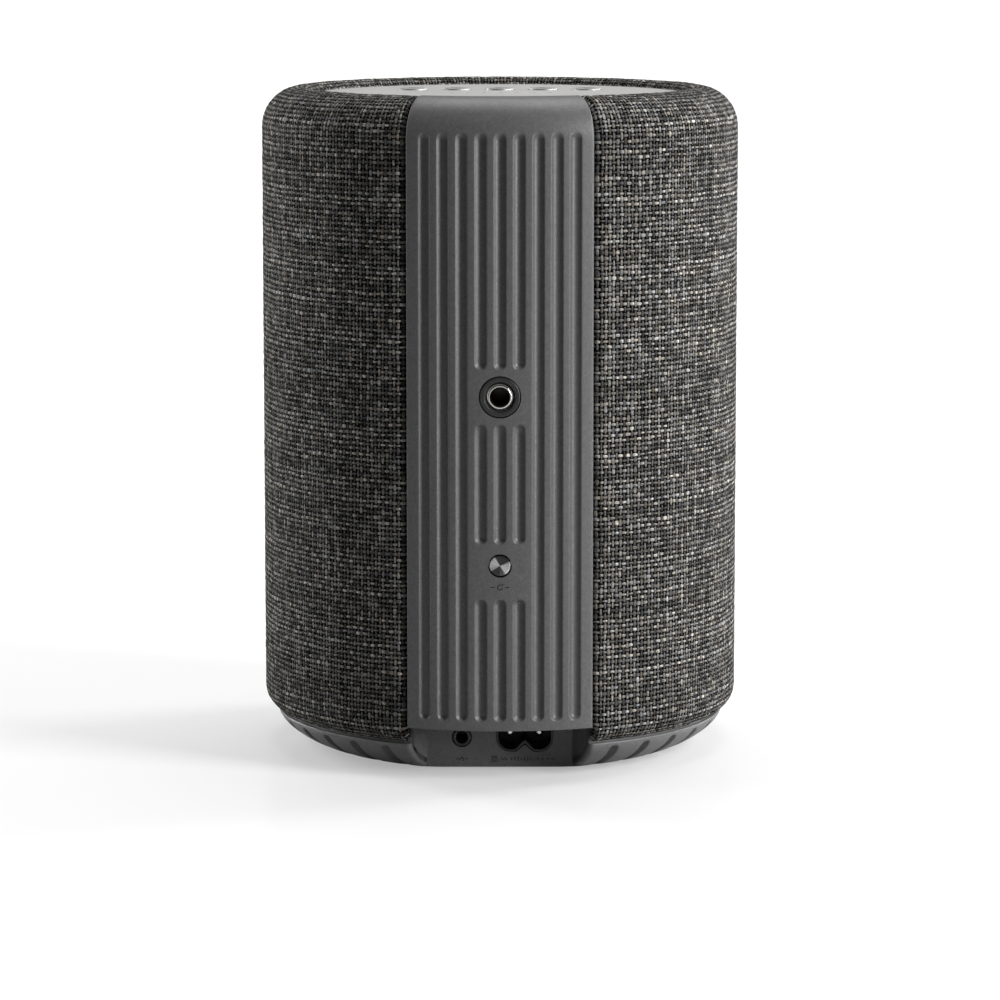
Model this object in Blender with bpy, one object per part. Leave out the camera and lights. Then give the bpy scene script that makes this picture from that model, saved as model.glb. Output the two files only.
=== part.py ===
"""Smart speaker with a cloth-wrapped round body, a fluted rear spine and a notched base.

The speaker stands on z = 0 with its axis on Z. Its spine faces -Y and its drivers face +Y.
All lengths are in metres and all angles in radians.
"""
import math

import bmesh
import bpy
from mathutils import Matrix, Vector

# Overall size
BODY_RADIUS = 0.071
BODY_HEIGHT = 0.197

# Clearances
GAP = 0.0003              # between pieces that rest on each other
CABINET_CLEARANCE = 0.0012
PIN_SPARE = 0.0063        # from the inlet's mouth to the tips of its pins

# Shell outline: straight side, rim turned over to the top plate, rolled hem
RIM_WIDTH = 0.0115
RIM_DROP = 0.0119
LIP_WIDTH = 0.0039
PLATE_RECESS = 0.0022
HEM_RADIUS = 0.007
HEM_START = 0.017
HEM_TURN = math.radians(64.5)
FABRIC_THICKNESS = 0.0012
FABRIC_TAIL = 0.0018
FRAME_WALL = 0.0025
FRAME_FOOT = 0.0175
LEDGE_REACH = 0.0036
LEDGE_THICKNESS = 0.002
SHELL_SEGMENTS = 36

# Grille windows
WINDOW_COLUMNS = 11
WINDOW_PITCH = math.radians(27)
WINDOW_WIDTH = 0.017
WINDOW_MARGIN = 0.0065
WINDOW_HEAD = 0.011

# Rear spine
SPINE_HALF_ANGLE = math.radians(22.2)
SPINE_WALL = 0.004
SPINE_FOOT = 0.01565
SPINE_LIP_WIDTH = 0.0061
SPINE_SEGMENTS = 12
FLUTE_COUNT = 9
FLUTE_PITCH = math.radians(4.42)
FLUTE_WIDTH = 0.00348
FLUTE_DEPTH = 0.0013
FLUTE_FOOT = 0.0183
FLUTE_HEAD = 0.010        # from the crest down to the flutes' upper ends
BROKEN_FLUTES = 3
LAND_MARGIN = 0.0018      # from a fitting's hole to the broken flutes' ends

# Threaded insert and its bezel
INSERT_HEIGHT = 0.1122
BEZEL_RADIUS = 0.00575
BEZEL_FLANGE = 0.0018
INSERT_RADIUS = 0.0034
INSERT_BORE = 0.0026
INSERT_SHOULDER = 0.0012
INSERT_LENGTH = 0.0155
INSERT_END_WALL = 0.0018
BEZEL_LAND = 0.0023       # from the body's outer face down to the bezel's inner ledge

# Reset button
RESET_HEIGHT = 0.0637
RESET_RADIUS = 0.003
RESET_SIDE_GAP = 0.00041
RESET_TRAVEL = 0.0005
RESET_FLANGE = 0.0012
RESET_LAND = 0.0046
RESET_BOARD = (0.020, 0.016)
RESET_POST_PLACE = 0.0075

# Base bowl
BASE_INSET = 0.0039       # from the straight side in to the bowl's top edge
BASE_GAP = 0.00068        # from the hem's end down to the bowl's top edge
BASE_LIFT = 0.0005
BOWL_SPAN = 0.0151        # from the bowl's top edge in to its flat
BOWL_BELLY = 0.0035
BOWL_SWEEP = 0.006
BASE_FLOOR = 0.0022
SPIGOT_CLEARANCE = 0.0005
SPIGOT_WALL = 0.0016
NOTCH_PITCH = math.radians(10)
NOTCH_WIDTH = 0.0032
NOTCH_DEPTH = 0.0015
FOOT_CLEARANCE = 0.0012   # from the foot's outer edge to the screws' heads
FOOT_WIDTH = 0.006
FOOT_GROOVE = 0.0011
POST_SIZE = 0.005

# Connector bay
BAY_DEPTH = 0.0221        # from the straight side in to the bay's flat face
BAY_HALF_WIDTH = 0.0212
BAY_FLARE = 0.375         # sideways per unit outwards
BAY_WALL = 0.0018
BAY_PLATE = 0.002
BAY_PLATE_MARGIN = 0.0033
BAY_ROOF = 0.0015
JACK_X = -0.01115
JACK_Z = 0.0093
JACK_RADIUS = 0.00265
JACK_BORE = 0.00175
JACK_BODY = (0.011, 0.012, 0.009)
INLET_X = 0.00725
INLET_Z = 0.0094
INLET_WIDTH = 0.0167
INLET_HEIGHT = 0.0088
INLET_TOP_CORNER = 0.0012
INLET_LOW_CORNER = 0.004
INLET_WEDGE = 0.0021
INLET_WALL = 0.0016
INLET_DEPTH = 0.014
PIN_RADIUS = 0.00115
PIN_SPACING = 0.0086

# Top plate and buttons
PLATE_THICKNESS = 0.002
BUTTON_COUNT = 5
BUTTON_RADIUS = 0.00425
BUTTON_PITCH = 0.01315
BUTTON_ROW = 0.021
BUTTON_RISE = 0.0005
BUTTON_TRAVEL = 0.0005
BUTTON_FLANGE = 0.0011
FLANGE_THICKNESS = 0.0008
STEM_RADIUS = 0.0015
STEM_LENGTH = 0.0011
SWITCH_SIZE = 0.005
SWITCH_HEIGHT = 0.002
BOARD_THICKNESS = 0.0016
LIGHT_ROW = 0.0034
LIGHT_COUNT = 7
LIGHT_PITCH = 0.005
LIGHT_RADIUS = 0.0005
LIGHT_BAR = (0.004, 0.0015)

# Cabinet
CABINET_WALL = 0.0025
CABINET_CORNER = 0.005
CABINET_FLOOR = 0.048
LID_THICKNESS = 0.0026
GASKET_THICKNESS = 0.001
SKIRT_FOOT = 0.012
LEG_RADIUS = 0.004
LEG_INSET = 0.006         # from the edge of the bowl's flat in to the legs' middles
SCREW_RADIUS = 0.0015
SCREW_HEAD_RADIUS = 0.0028
SCREW_HEAD = 0.0007

# Drivers, measured along their own axes from the cabinet wall's outer face
DRIVER_MARGIN = 0.002
FLANGE_HEIGHT = 0.003
FLANGE_RING = 0.006
SURROUND_WIDTH = 0.009
SURROUND_ROLL = 0.0022
SHEET = 0.0008
CONE_TRAVEL = 0.002
COIL_RADIUS = 0.0102
COIL_SLOT = 0.0007
BASKET_DEPTH = 0.022
BASKET_PLATE = 0.003
MAGNET_HEIGHT = 0.0157
MAGNET_CLEARANCE = 0.008
YOKE_PLATE = 0.005
RADIATOR_DEPTH = 0.008
TWEETER_RADIUS = 0.019
DOME_RADIUS = 0.0095
DOME_TRAVEL = 0.0003

# Electronics, standing on the boards
BOARD_HEIGHT = 0.018
BOARD_CLEARANCE = 0.0053  # from the inlet's back to the boards' rear edge
WINDING_MARGIN = 0.0018   # from the winding to the edges of its half of the board
WINDING_REACH = 0.002     # how far the winding stands out of the core
TRANSFORMER_LENGTH = 0.024
TRANSFORMER_HEIGHT = 0.020
CAPACITOR_RADIUS = 0.008
CAPACITOR_HEIGHT = 0.024
SINK_FINS = 5
SINK_MARGIN = 0.0033      # from the heat sink to the edges of its half of the board
SINK_LENGTH = 0.030
SINK_HEIGHT = 0.022
SINK_BASE = 0.003
FIN_THICKNESS = 0.0015
MODULE_SIZE = (0.016, 0.014, 0.003)

# Worked out from the values above
RIM_START = BODY_HEIGHT - RIM_DROP
CREST_RADIUS = BODY_RADIUS - RIM_WIDTH
PLATE_TOP = BODY_HEIGHT - PLATE_RECESS
PLATE_BOTTOM = PLATE_TOP - PLATE_THICKNESS
PLATE_RADIUS = CREST_RADIUS - LIP_WIDTH - GAP
FRAME_INSET = FABRIC_THICKNESS + GAP
FRAME_INNER_RADIUS = BODY_RADIUS - FRAME_INSET - FRAME_WALL
BASE_RADIUS = BODY_RADIUS - BASE_INSET
BASE_TOP = HEM_START - HEM_RADIUS * math.sin(HEM_TURN) - BASE_GAP
HEM_INNER_RADIUS = BODY_RADIUS - HEM_RADIUS + (HEM_RADIUS - FABRIC_THICKNESS) * math.cos(HEM_TURN)
SPIGOT_RADIUS = HEM_INNER_RADIUS - SPIGOT_CLEARANCE
SPIGOT_TOP = FRAME_FOOT - GAP
BOWL_FLAT_RADIUS = BASE_RADIUS - BOWL_SPAN
BAY_FACE = BODY_RADIUS - BAY_DEPTH
BOARD_REAR = BAY_PLATE + INLET_DEPTH + INLET_WALL + BOARD_CLEARANCE - BAY_FACE
LEG_CIRCLE = BOWL_FLAT_RADIUS - LEG_INSET
FOOT_OUTER_RADIUS = LEG_CIRCLE - SCREW_HEAD_RADIUS - FOOT_CLEARANCE
FOOT_INNER_RADIUS = FOOT_OUTER_RADIUS - FOOT_WIDTH
STEM_BOTTOM = PLATE_BOTTOM - GAP - FLANGE_THICKNESS - STEM_LENGTH
SWITCH_TOP = STEM_BOTTOM - BUTTON_TRAVEL - GAP / 3
KEY_BOARD_TOP = SWITCH_TOP - SWITCH_HEIGHT - GAP
LID_TOP = KEY_BOARD_TOP - BOARD_THICKNESS - GAP - BOARD_THICKNESS
GASKET_TOP = LID_TOP - LID_THICKNESS - GAP
CABINET_TOP = GASKET_TOP - GASKET_THICKNESS - GAP
CABINET_REACH = FRAME_INNER_RADIUS - CABINET_CLEARANCE
FLANGE_TOP = GAP + FLANGE_HEIGHT


def notch_count():
    """How many notches fit evenly on both sides of the front without reaching the bay."""
    mouth = BAY_HALF_WIDTH + (BASE_RADIUS - BAY_FACE) * BAY_FLARE + BAY_WALL
    taken = math.asin(mouth / BASE_RADIUS) + NOTCH_WIDTH / BASE_RADIUS
    return 2 * math.floor((math.pi - taken) / NOTCH_PITCH) + 1


def cabinet_half_width():
    """The widest square cabinet whose driver flanges still clear the round grille frame."""
    excess = FLANGE_TOP - CABINET_CORNER
    inside = excess**2 - 2 * (FLANGE_TOP**2 + CABINET_CORNER**2 - CABINET_REACH**2)
    return (math.sqrt(inside) - excess) / 2


NOTCH_COUNT = notch_count()
CABINET_HALF = cabinet_half_width()
CABINET_INSIDE = CABINET_HALF - CABINET_WALL
DRIVER_SPACE = CABINET_TOP - CABINET_FLOOR - CABINET_WALL - 2 * TWEETER_RADIUS - 3 * DRIVER_MARGIN
DRIVER_RADIUS = min(CABINET_HALF - CABINET_CORNER, DRIVER_SPACE / 2)
DRIVER_HEIGHT = CABINET_FLOOR + CABINET_WALL + DRIVER_MARGIN + DRIVER_RADIUS
TWEETER_HEIGHT = CABINET_TOP - DRIVER_MARGIN - TWEETER_RADIUS
OPENING_RADIUS = DRIVER_RADIUS - FLANGE_RING
SURROUND_OUTER = OPENING_RADIUS - GAP
SURROUND_INNER = SURROUND_OUTER - SURROUND_WIDTH
CONE_RADIUS = SURROUND_INNER - GAP
MAGNET_ROOM = CABINET_INSIDE - RADIATOR_DEPTH - CONE_TRAVEL - MAGNET_CLEARANCE
MAGNET_RADIUS = min(MAGNET_ROOM, OPENING_RADIUS - FLANGE_RING / 2)
LEG_OFFSET = LEG_CIRCLE * math.sqrt(0.5)

FRONT = Vector((0, 1, 0))
REAR = Vector((0, -1, 0))
LEFT = Vector((-1, 0, 0))
RIGHT = Vector((1, 0, 0))
UP = Vector((0, 0, 1))


def clear_scene():
    """Remove every object of the scene that the script starts in."""
    for obj in list(bpy.data.objects):
        bpy.data.objects.remove(obj, do_unlink=True)


def finish(name, colour, roughness, metallic):
    """A material with one colour, roughness and metallic value."""
    made = bpy.data.materials.new(name)
    made.use_nodes = True
    shader = made.node_tree.nodes["Principled BSDF"]
    shader.inputs["Base Color"].default_value = (*colour, 1)
    shader.inputs["Roughness"].default_value = roughness
    shader.inputs["Metallic"].default_value = metallic
    return made


def finishes():
    """The materials of the whole speaker, by name."""
    return {
        "cloth": finish("cloth", (0.06, 0.058, 0.055), 0.95, 0),
        "spine": finish("spine_plastic", (0.075, 0.075, 0.077), 0.5, 0),
        "base": finish("base_plastic", (0.085, 0.085, 0.087), 0.5, 0),
        "plate": finish("plate_lacquer", (0.57, 0.565, 0.555), 0.45, 0),
        "spun": finish("spun_metal", (0.72, 0.72, 0.71), 0.25, 1),
        "chrome": finish("bright_plate", (0.8, 0.79, 0.77), 0.1, 1),
        "black": finish("black_plastic", (0.012, 0.012, 0.013), 0.45, 0),
        "cabinet": finish("cabinet_plastic", (0.03, 0.03, 0.032), 0.6, 0),
        "rubber": finish("rubber", (0.02, 0.02, 0.02), 0.9, 0),
        "board": finish("circuit_board", (0.02, 0.12, 0.05), 0.5, 0),
        "steel": finish("zinc_steel", (0.55, 0.55, 0.54), 0.35, 1),
        "ferrite": finish("ferrite", (0.04, 0.04, 0.042), 0.7, 0),
        "pulp": finish("cone_pulp", (0.03, 0.03, 0.03), 0.85, 0),
        "clear": finish("light_guide", (0.85, 0.85, 0.85), 0.3, 0),
        "sink": finish("aluminium", (0.5, 0.5, 0.52), 0.4, 1),
    }


def add_object(name, shape, material=None, place=(0, 0, 0), axis=UP):
    """Turn a bmesh into a named object with its local Z along axis."""
    bmesh.ops.remove_doubles(shape, verts=shape.verts, dist=1e-7)
    loose = [edge for edge in shape.edges if edge.is_wire]
    bmesh.ops.delete(shape, geom=loose, context="EDGES")
    bmesh.ops.recalc_face_normals(shape, faces=shape.faces)
    mesh = bpy.data.meshes.new(name)
    shape.to_mesh(mesh)
    shape.free()
    obj = bpy.data.objects.new(name, mesh)
    bpy.context.scene.collection.objects.link(obj)
    obj.location = place
    obj.rotation_euler = UP.rotation_difference(axis).to_euler()
    if material is not None:
        mesh.materials.append(material)
        mesh.shade_smooth()
        mesh.set_sharp_from_angle(angle=math.radians(35))
    return obj


def as_tool(obj):
    """Mark an object as a cutter or an addition that isn't a piece of the speaker."""
    obj.hide_render = True
    obj.display_type = "WIRE"
    return obj


def combine(piece, tool, operation):
    """Give a piece a Boolean with another object."""
    step = piece.modifiers.new(f"{operation.lower()} {tool.name}", "BOOLEAN")
    step.operation = operation
    step.solver = "EXACT"
    step.object = as_tool(tool)


def cut(piece, *tools):
    """Cut each tool out of a piece."""
    for tool in tools:
        combine(piece, tool, "DIFFERENCE")


def join(piece, *tools):
    """Join each tool to a piece as one body."""
    for tool in tools:
        combine(piece, tool, "UNION")


def ring_of(shape, points):
    """Add a closed loop of vertices and edges to a bmesh."""
    corners = [shape.verts.new(point) for point in points]
    sides = [shape.edges.new((corners[i - 1], corners[i])) for i in range(len(corners))]
    return corners, sides


def turned(name, outline, material=None, segments=16, place=(0, 0, 0), axis=UP):
    """A full turn of a closed outline of (radius, height) points."""
    shape = bmesh.new()
    corners, sides = ring_of(shape, [(radius, 0, height) for radius, height in outline])
    bmesh.ops.spin(
        shape, geom=corners + sides, axis=UP, cent=(0, 0, 0),
        angle=math.tau, steps=segments, use_merge=True,
    )
    return add_object(name, shape, material, place, axis)


def sector(name, outline, half_angle, steps, material=None):
    """Part of a turn about the speaker's axis, centred on the rear, with closed ends."""
    shape = bmesh.new()
    start = -math.pi / 2 - half_angle
    points = [(r * math.cos(start), r * math.sin(start), z) for r, z in outline]
    corners, sides = ring_of(shape, points)
    shape.faces.new(corners)
    turn = bmesh.ops.spin(
        shape, geom=corners + sides, axis=UP, cent=(0, 0, 0),
        angle=2 * half_angle, steps=steps,
    )
    last = [item for item in turn["geom_last"] if isinstance(item, bmesh.types.BMEdge)]
    bmesh.ops.edgeloop_fill(shape, edges=last)
    return add_object(name, shape, material)


def prism(name, outline, low, high, material=None, place=(0, 0, 0), axis=UP):
    """An outline of (x, y) points drawn up from low to high along its local Z."""
    shape = bmesh.new()
    corners, _ = ring_of(shape, [(x, y, low) for x, y in outline])
    floor = shape.faces.new(corners)
    raised = bmesh.ops.extrude_face_region(shape, geom=[floor])
    moved = [item for item in raised["geom"] if isinstance(item, bmesh.types.BMVert)]
    bmesh.ops.translate(shape, verts=moved, vec=(0, 0, high - low))
    return add_object(name, shape, material, place, axis)


def add_box(shape, low, high):
    """Add a box between two corners to a bmesh."""
    centre = [(a + b) / 2 for a, b in zip(low, high)]
    size = [b - a for a, b in zip(low, high)]
    corners = bmesh.ops.create_cube(shape, size=1)["verts"]
    bmesh.ops.scale(shape, verts=corners, vec=size)
    bmesh.ops.translate(shape, verts=corners, vec=centre)
    return corners


def box(name, low, high, material=None):
    """A box between two corners, with its origin at its centre."""
    shape = bmesh.new()
    half = [(b - a) / 2 for a, b in zip(low, high)]
    add_box(shape, [-value for value in half], half)
    centre = [(a + b) / 2 for a, b in zip(low, high)]
    return add_object(name, shape, material, centre)


def rod(name, radius, low, high, place=(0, 0, 0), axis=UP, segments=12):
    """A plain cylinder along an axis, used as a cutter or an addition."""
    outline = [(0, low), (radius, low), (radius, high), (0, high)]
    return turned(name, outline, None, segments, place, axis)


def arc(centre, radii, start, end, steps):
    """Points on an elliptical arc, ends included."""
    points = []
    for step in range(steps + 1):
        angle = start + (end - start) * step / steps
        offset = (radii[0] * math.cos(angle), radii[1] * math.sin(angle))
        points.append((centre[0] + offset[0], centre[1] + offset[1]))
    return points


def curve(controls, steps):
    """Points on a cubic Bezier curve, ends included."""
    points = []
    for step in range(steps + 1):
        t = step / steps
        weights = ((1 - t)**3, 3 * t * (1 - t)**2, 3 * t**2 * (1 - t), t**3)
        points.append(tuple(sum(w * c[k] for w, c in zip(weights, controls)) for k in range(2)))
    return points


# ---- Shell: cloth, grille frame and spine share one outline ----

def rim_outline(inset, lip_width, steps=4):
    """From the straight side over the crest and down to the lip, inset from the cloth's face."""
    over = arc(
        (CREST_RADIUS, RIM_START), (RIM_WIDTH - inset, RIM_DROP - inset),
        0, math.pi / 2, steps,
    )
    down = arc(
        (CREST_RADIUS, PLATE_TOP), (lip_width - inset, PLATE_RECESS - inset),
        math.pi / 2, math.pi, 2,
    )
    return over + down[1:]


def inner_rim_outline(ceiling, inset):
    """The inside of a thick rim, from its ceiling down to the straight wall."""
    radii = (RIM_WIDTH - inset, RIM_DROP - inset)
    start = math.asin((ceiling - RIM_START) / radii[1])
    return arc((CREST_RADIUS, RIM_START), radii, start, 0, 2)


def hem_outline(inset):
    """The rolled lower edge, from its end up to the straight side."""
    radius = HEM_RADIUS - inset
    return arc((BODY_RADIUS - HEM_RADIUS, HEM_START), (radius, radius), -HEM_TURN, 0, 2)


def spine_opening(name):
    """A wedge that leaves a gap on each side of the spine."""
    near = GAP / math.sin(SPINE_HALF_ANGLE)
    reach = 2 * BODY_RADIUS
    side = (reach * math.sin(SPINE_HALF_ANGLE), near - reach * math.cos(SPINE_HALF_ANGLE))
    outline = [(0, near), (-side[0], side[1]), side]
    return prism(name, outline, -BASE_TOP, BODY_HEIGHT + BASE_TOP)


def make_fabric_cover(look):
    """The cloth: one skin from the rolled hem over the rim to its tail beside the top plate."""
    tail = PLATE_TOP - FABRIC_TAIL
    outer = hem_outline(0) + rim_outline(0, LIP_WIDTH)
    inner = hem_outline(FABRIC_THICKNESS) + rim_outline(FABRIC_THICKNESS, LIP_WIDTH)
    outer.append((outer[-1][0], tail))
    inner.append((inner[-1][0], tail))
    cover = turned("fabric_cover", outer + inner[::-1], look["cloth"], SHELL_SEGMENTS)
    cut(cover, spine_opening("cover_opening"))


def make_grille_frame(look):
    """The moulded cage under the cloth, with windows for the drivers and a ledge for the plate."""
    ledge_top = PLATE_BOTTOM - GAP
    ledge_bottom = ledge_top - LEDGE_THICKNESS
    rim = rim_outline(FRAME_INSET, LIP_WIDTH)
    outer = [(BODY_RADIUS - FRAME_INSET, FRAME_FOOT)] + rim
    outer.append((rim[-1][0], ledge_top))
    ledge_radius = PLATE_RADIUS - LEDGE_REACH
    ledge = [(ledge_radius, ledge_top), (ledge_radius, ledge_bottom)]
    inner = inner_rim_outline(ledge_bottom, FRAME_INSET + FRAME_WALL)
    inner.append((FRAME_INNER_RADIUS, FRAME_FOOT))
    frame = turned("grille_frame", outer + ledge + inner, look["black"], SHELL_SEGMENTS)
    cut(frame, grille_windows(), spine_opening("frame_opening"))


def grille_windows():
    """Tall boxes that open the grille frame all round but behind."""
    shape = bmesh.new()
    low = FRAME_FOOT + WINDOW_MARGIN
    high = BODY_HEIGHT - WINDOW_HEAD - RIM_DROP
    near = FRAME_INNER_RADIUS - 4 * FRAME_WALL
    far = BODY_RADIUS + FRAME_WALL
    for column in range(WINDOW_COLUMNS):
        angle = (column - (WINDOW_COLUMNS - 1) / 2) * WINDOW_PITCH + math.pi / 2
        corners = add_box(shape, (near, -WINDOW_WIDTH / 2, low), (far, WINDOW_WIDTH / 2, high))
        turn_about_axis(shape, corners, angle)
    return add_object("grille_windows", shape)


def turn_about_axis(shape, corners, angle):
    """Turn some of a bmesh's vertices about the speaker's axis."""
    bmesh.ops.rotate(
        shape, verts=corners, cent=(0, 0, 0),
        matrix=Matrix.Rotation(angle, 3, UP),
    )


def flute_runs():
    """Each flute as its angle from the rear and its lower and upper ends."""
    foot = FLUTE_FOOT
    head = BODY_HEIGHT - FLUTE_HEAD
    insert_land = BEZEL_RADIUS + GAP + LAND_MARGIN
    reset_land = RESET_LAND + RESET_RADIUS + RESET_SIDE_GAP
    breaks = [
        (RESET_HEIGHT - reset_land - LAND_MARGIN, RESET_HEIGHT + reset_land - LAND_MARGIN),
        (INSERT_HEIGHT - insert_land, INSERT_HEIGHT + insert_land),
    ]
    runs = []
    for index in range(FLUTE_COUNT):
        place = index - (FLUTE_COUNT - 1) / 2
        ends = [foot]
        if abs(place) <= (BROKEN_FLUTES - 1) / 2:
            for low, high in breaks:
                ends += [low, high]
        ends.append(head)
        for low, high in zip(ends[0::2], ends[1::2]):
            runs.append((place * FLUTE_PITCH, low, high))
    return runs


def groove_circle(width, depth):
    """Radius of a round groove's circle and how far its centre stands off the surface."""
    radius = ((width / 2)**2 + depth**2) / (2 * depth)
    return radius, radius - depth


def flute_cutter():
    """All flutes as round-ended bars standing in the spine's face."""
    radius, stand_off = groove_circle(FLUTE_WIDTH, FLUTE_DEPTH)
    shape = bmesh.new()
    for offset, low, high in flute_runs():
        bottom = low + FLUTE_WIDTH / 2
        top = high - FLUTE_WIDTH / 2
        profile = arc((0, bottom), (radius, radius), -math.pi / 2, 0, 3)
        profile += arc((0, top), (radius, radius), 0, math.pi / 2, 3)
        start = len(shape.verts)
        corners = [shape.verts.new((abs(r), 0, z)) for r, z in profile]
        sides = [shape.edges.new(pair) for pair in zip(corners, corners[1:])]
        bmesh.ops.spin(
            shape, geom=corners + sides, axis=UP, cent=(0, 0, 0),
            angle=math.tau, steps=10, use_merge=True,
        )
        shape.verts.ensure_lookup_table()
        bar = shape.verts[start:]
        angle = -math.pi / 2 + offset
        stand = BODY_RADIUS + stand_off
        bmesh.ops.translate(
            shape, verts=bar, vec=(stand * math.cos(angle), stand * math.sin(angle), 0),
        )
    return add_object("flute_cutter", shape)


def make_rear_panel(look):
    """The spine: a thick strip that follows the shell's outline and curls over to the plate."""
    rim = rim_outline(0, SPINE_LIP_WIDTH)
    outer = [(BODY_RADIUS, SPINE_FOOT)] + rim
    outer.append((rim[-1][0], PLATE_BOTTOM))
    inner = inner_rim_outline(PLATE_BOTTOM, SPINE_WALL)
    inner.append((BODY_RADIUS - SPINE_WALL, SPINE_FOOT))
    panel = sector("rear_panel", outer + inner, SPINE_HALF_ANGLE, SPINE_SEGMENTS, look["spine"])
    cut(panel, flute_cutter())
    posts = bmesh.new()
    board = BODY_RADIUS - reset_depths()["board"] + GAP
    for middle in (-RESET_POST_PLACE, RESET_POST_PLACE):
        add_box(
            posts,
            (middle - POST_SIZE / 4, -BODY_RADIUS + SPINE_WALL / 2, RESET_HEIGHT - POST_SIZE / 2),
            (middle + POST_SIZE / 4, -board, RESET_HEIGHT + POST_SIZE / 2),
        )
    join(panel, add_object("reset_posts", posts))
    depth = 2 * SPINE_WALL
    cut(
        panel,
        rod("bezel_hole", BEZEL_RADIUS + GAP, -depth, depth, rear_point(INSERT_HEIGHT), REAR, 20),
        rod("reset_hole", RESET_RADIUS + RESET_SIDE_GAP, -depth, depth,
            rear_point(RESET_HEIGHT), REAR, 20),
    )


def rear_point(height):
    """The point of the body's outer face at the middle of the rear."""
    return (0, -BODY_RADIUS, height)


def make_insert(look):
    """The threaded bush and the black bezel round it, on an axis through the spine."""
    place = rear_point(INSERT_HEIGHT)
    face = -GAP / 3
    behind = -SPINE_WALL - 3 * GAP
    neck = INSERT_RADIUS + GAP
    body = INSERT_RADIUS + INSERT_SHOULDER
    bezel = [
        (neck, face - GAP), (neck + GAP, face), (BEZEL_RADIUS - GAP, face),
        (BEZEL_RADIUS, face - GAP), (BEZEL_RADIUS, behind), (BEZEL_RADIUS + BEZEL_FLANGE, behind),
        (BEZEL_RADIUS + BEZEL_FLANGE, behind - BEZEL_FLANGE), (body + GAP, behind - BEZEL_FLANGE),
        (body + GAP, -BEZEL_LAND), (neck, -BEZEL_LAND),
    ]
    turned("insert_bezel", bezel, look["black"], 16, place, REAR)
    front = face - GAP
    chamfer = INSERT_RADIUS - INSERT_BORE
    end = front - INSERT_LENGTH + INSERT_END_WALL
    bush = [
        (INSERT_RADIUS, front), (INSERT_RADIUS - chamfer / 2, front),
        (INSERT_BORE, front - chamfer), (INSERT_BORE, end),
        (0, end), (0, front - INSERT_LENGTH), (body, front - INSERT_LENGTH),
        (body, -BEZEL_LAND - GAP), (INSERT_RADIUS, -BEZEL_LAND - GAP),
    ]
    turned("threaded_insert", bush, look["chrome"], 16, place, REAR)


def reset_depths():
    """Depths of the reset button's parts behind the body's outer face."""
    flange = SPINE_WALL + 3 * GAP
    stem = flange + 2 * FLANGE_THICKNESS
    switch = stem + RESET_TRAVEL + GAP / 3
    board = switch + SWITCH_HEIGHT + 5 * GAP
    return {"flange": flange, "stem": stem, "switch": switch, "board": board}


def make_reset(look):
    """The reset button, and its switch on a small board carried by the spine's posts."""
    place = rear_point(RESET_HEIGHT)
    depths = reset_depths()
    edge = RESET_RADIUS + RESET_FLANGE
    outline = [
        (0, -GAP), (RESET_RADIUS - GAP, -GAP), (RESET_RADIUS, -2 * GAP),
        (RESET_RADIUS, -depths["flange"]), (edge, -depths["flange"]),
        (edge, -depths["flange"] - FLANGE_THICKNESS),
        (STEM_RADIUS, -depths["flange"] - FLANGE_THICKNESS), (STEM_RADIUS, -depths["stem"]),
        (0, -depths["stem"]),
    ]
    turned("reset_button", outline, look["spun"], 16, place, REAR)
    half = SWITCH_SIZE / 2
    switch_front = depths["switch"] - BODY_RADIUS
    board_face = depths["board"] - BODY_RADIUS
    width, height = RESET_BOARD
    box(
        "reset_switch", (-half, switch_front, RESET_HEIGHT - half),
        (half, board_face - GAP, RESET_HEIGHT + half), look["black"],
    )
    box(
        "reset_board", (-width / 2, board_face, RESET_HEIGHT - height / 2),
        (width / 2, board_face + BOARD_THICKNESS, RESET_HEIGHT + height / 2), look["board"],
    )


# ---- Base bowl and connector bay ----

def bowl_controls():
    """The bowl's outside as a Bezier curve from its top edge to its flat."""
    return [
        (BASE_RADIUS, BASE_TOP), (BASE_RADIUS, BASE_TOP - BOWL_BELLY),
        (BOWL_FLAT_RADIUS + BOWL_SWEEP, BASE_LIFT), (BOWL_FLAT_RADIUS, BASE_LIFT),
    ]


def bowl_cavity_controls():
    """The bowl's inside, from the spigot down to the floor."""
    radius = SPIGOT_RADIUS - SPIGOT_WALL
    top = BASE_TOP + SPIGOT_WALL
    floor = BASE_LIFT + BASE_FLOOR
    return [
        (radius, top), (radius, top - BOWL_BELLY),
        (BOWL_FLAT_RADIUS + BOWL_SWEEP - BASE_FLOOR, floor), (BOWL_FLAT_RADIUS - BASE_FLOOR, floor),
    ]


def bay_outline(inner, widen, reach):
    """Plan of the bay from a distance behind the axis outwards, widened on each side."""
    half_near = BAY_HALF_WIDTH + (inner - BAY_FACE) * BAY_FLARE + widen
    half_far = BAY_HALF_WIDTH + (reach - BAY_FACE) * BAY_FLARE + widen
    return [(-half_near, -inner), (-half_far, -reach), (half_far, -reach), (half_near, -inner)]


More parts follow.
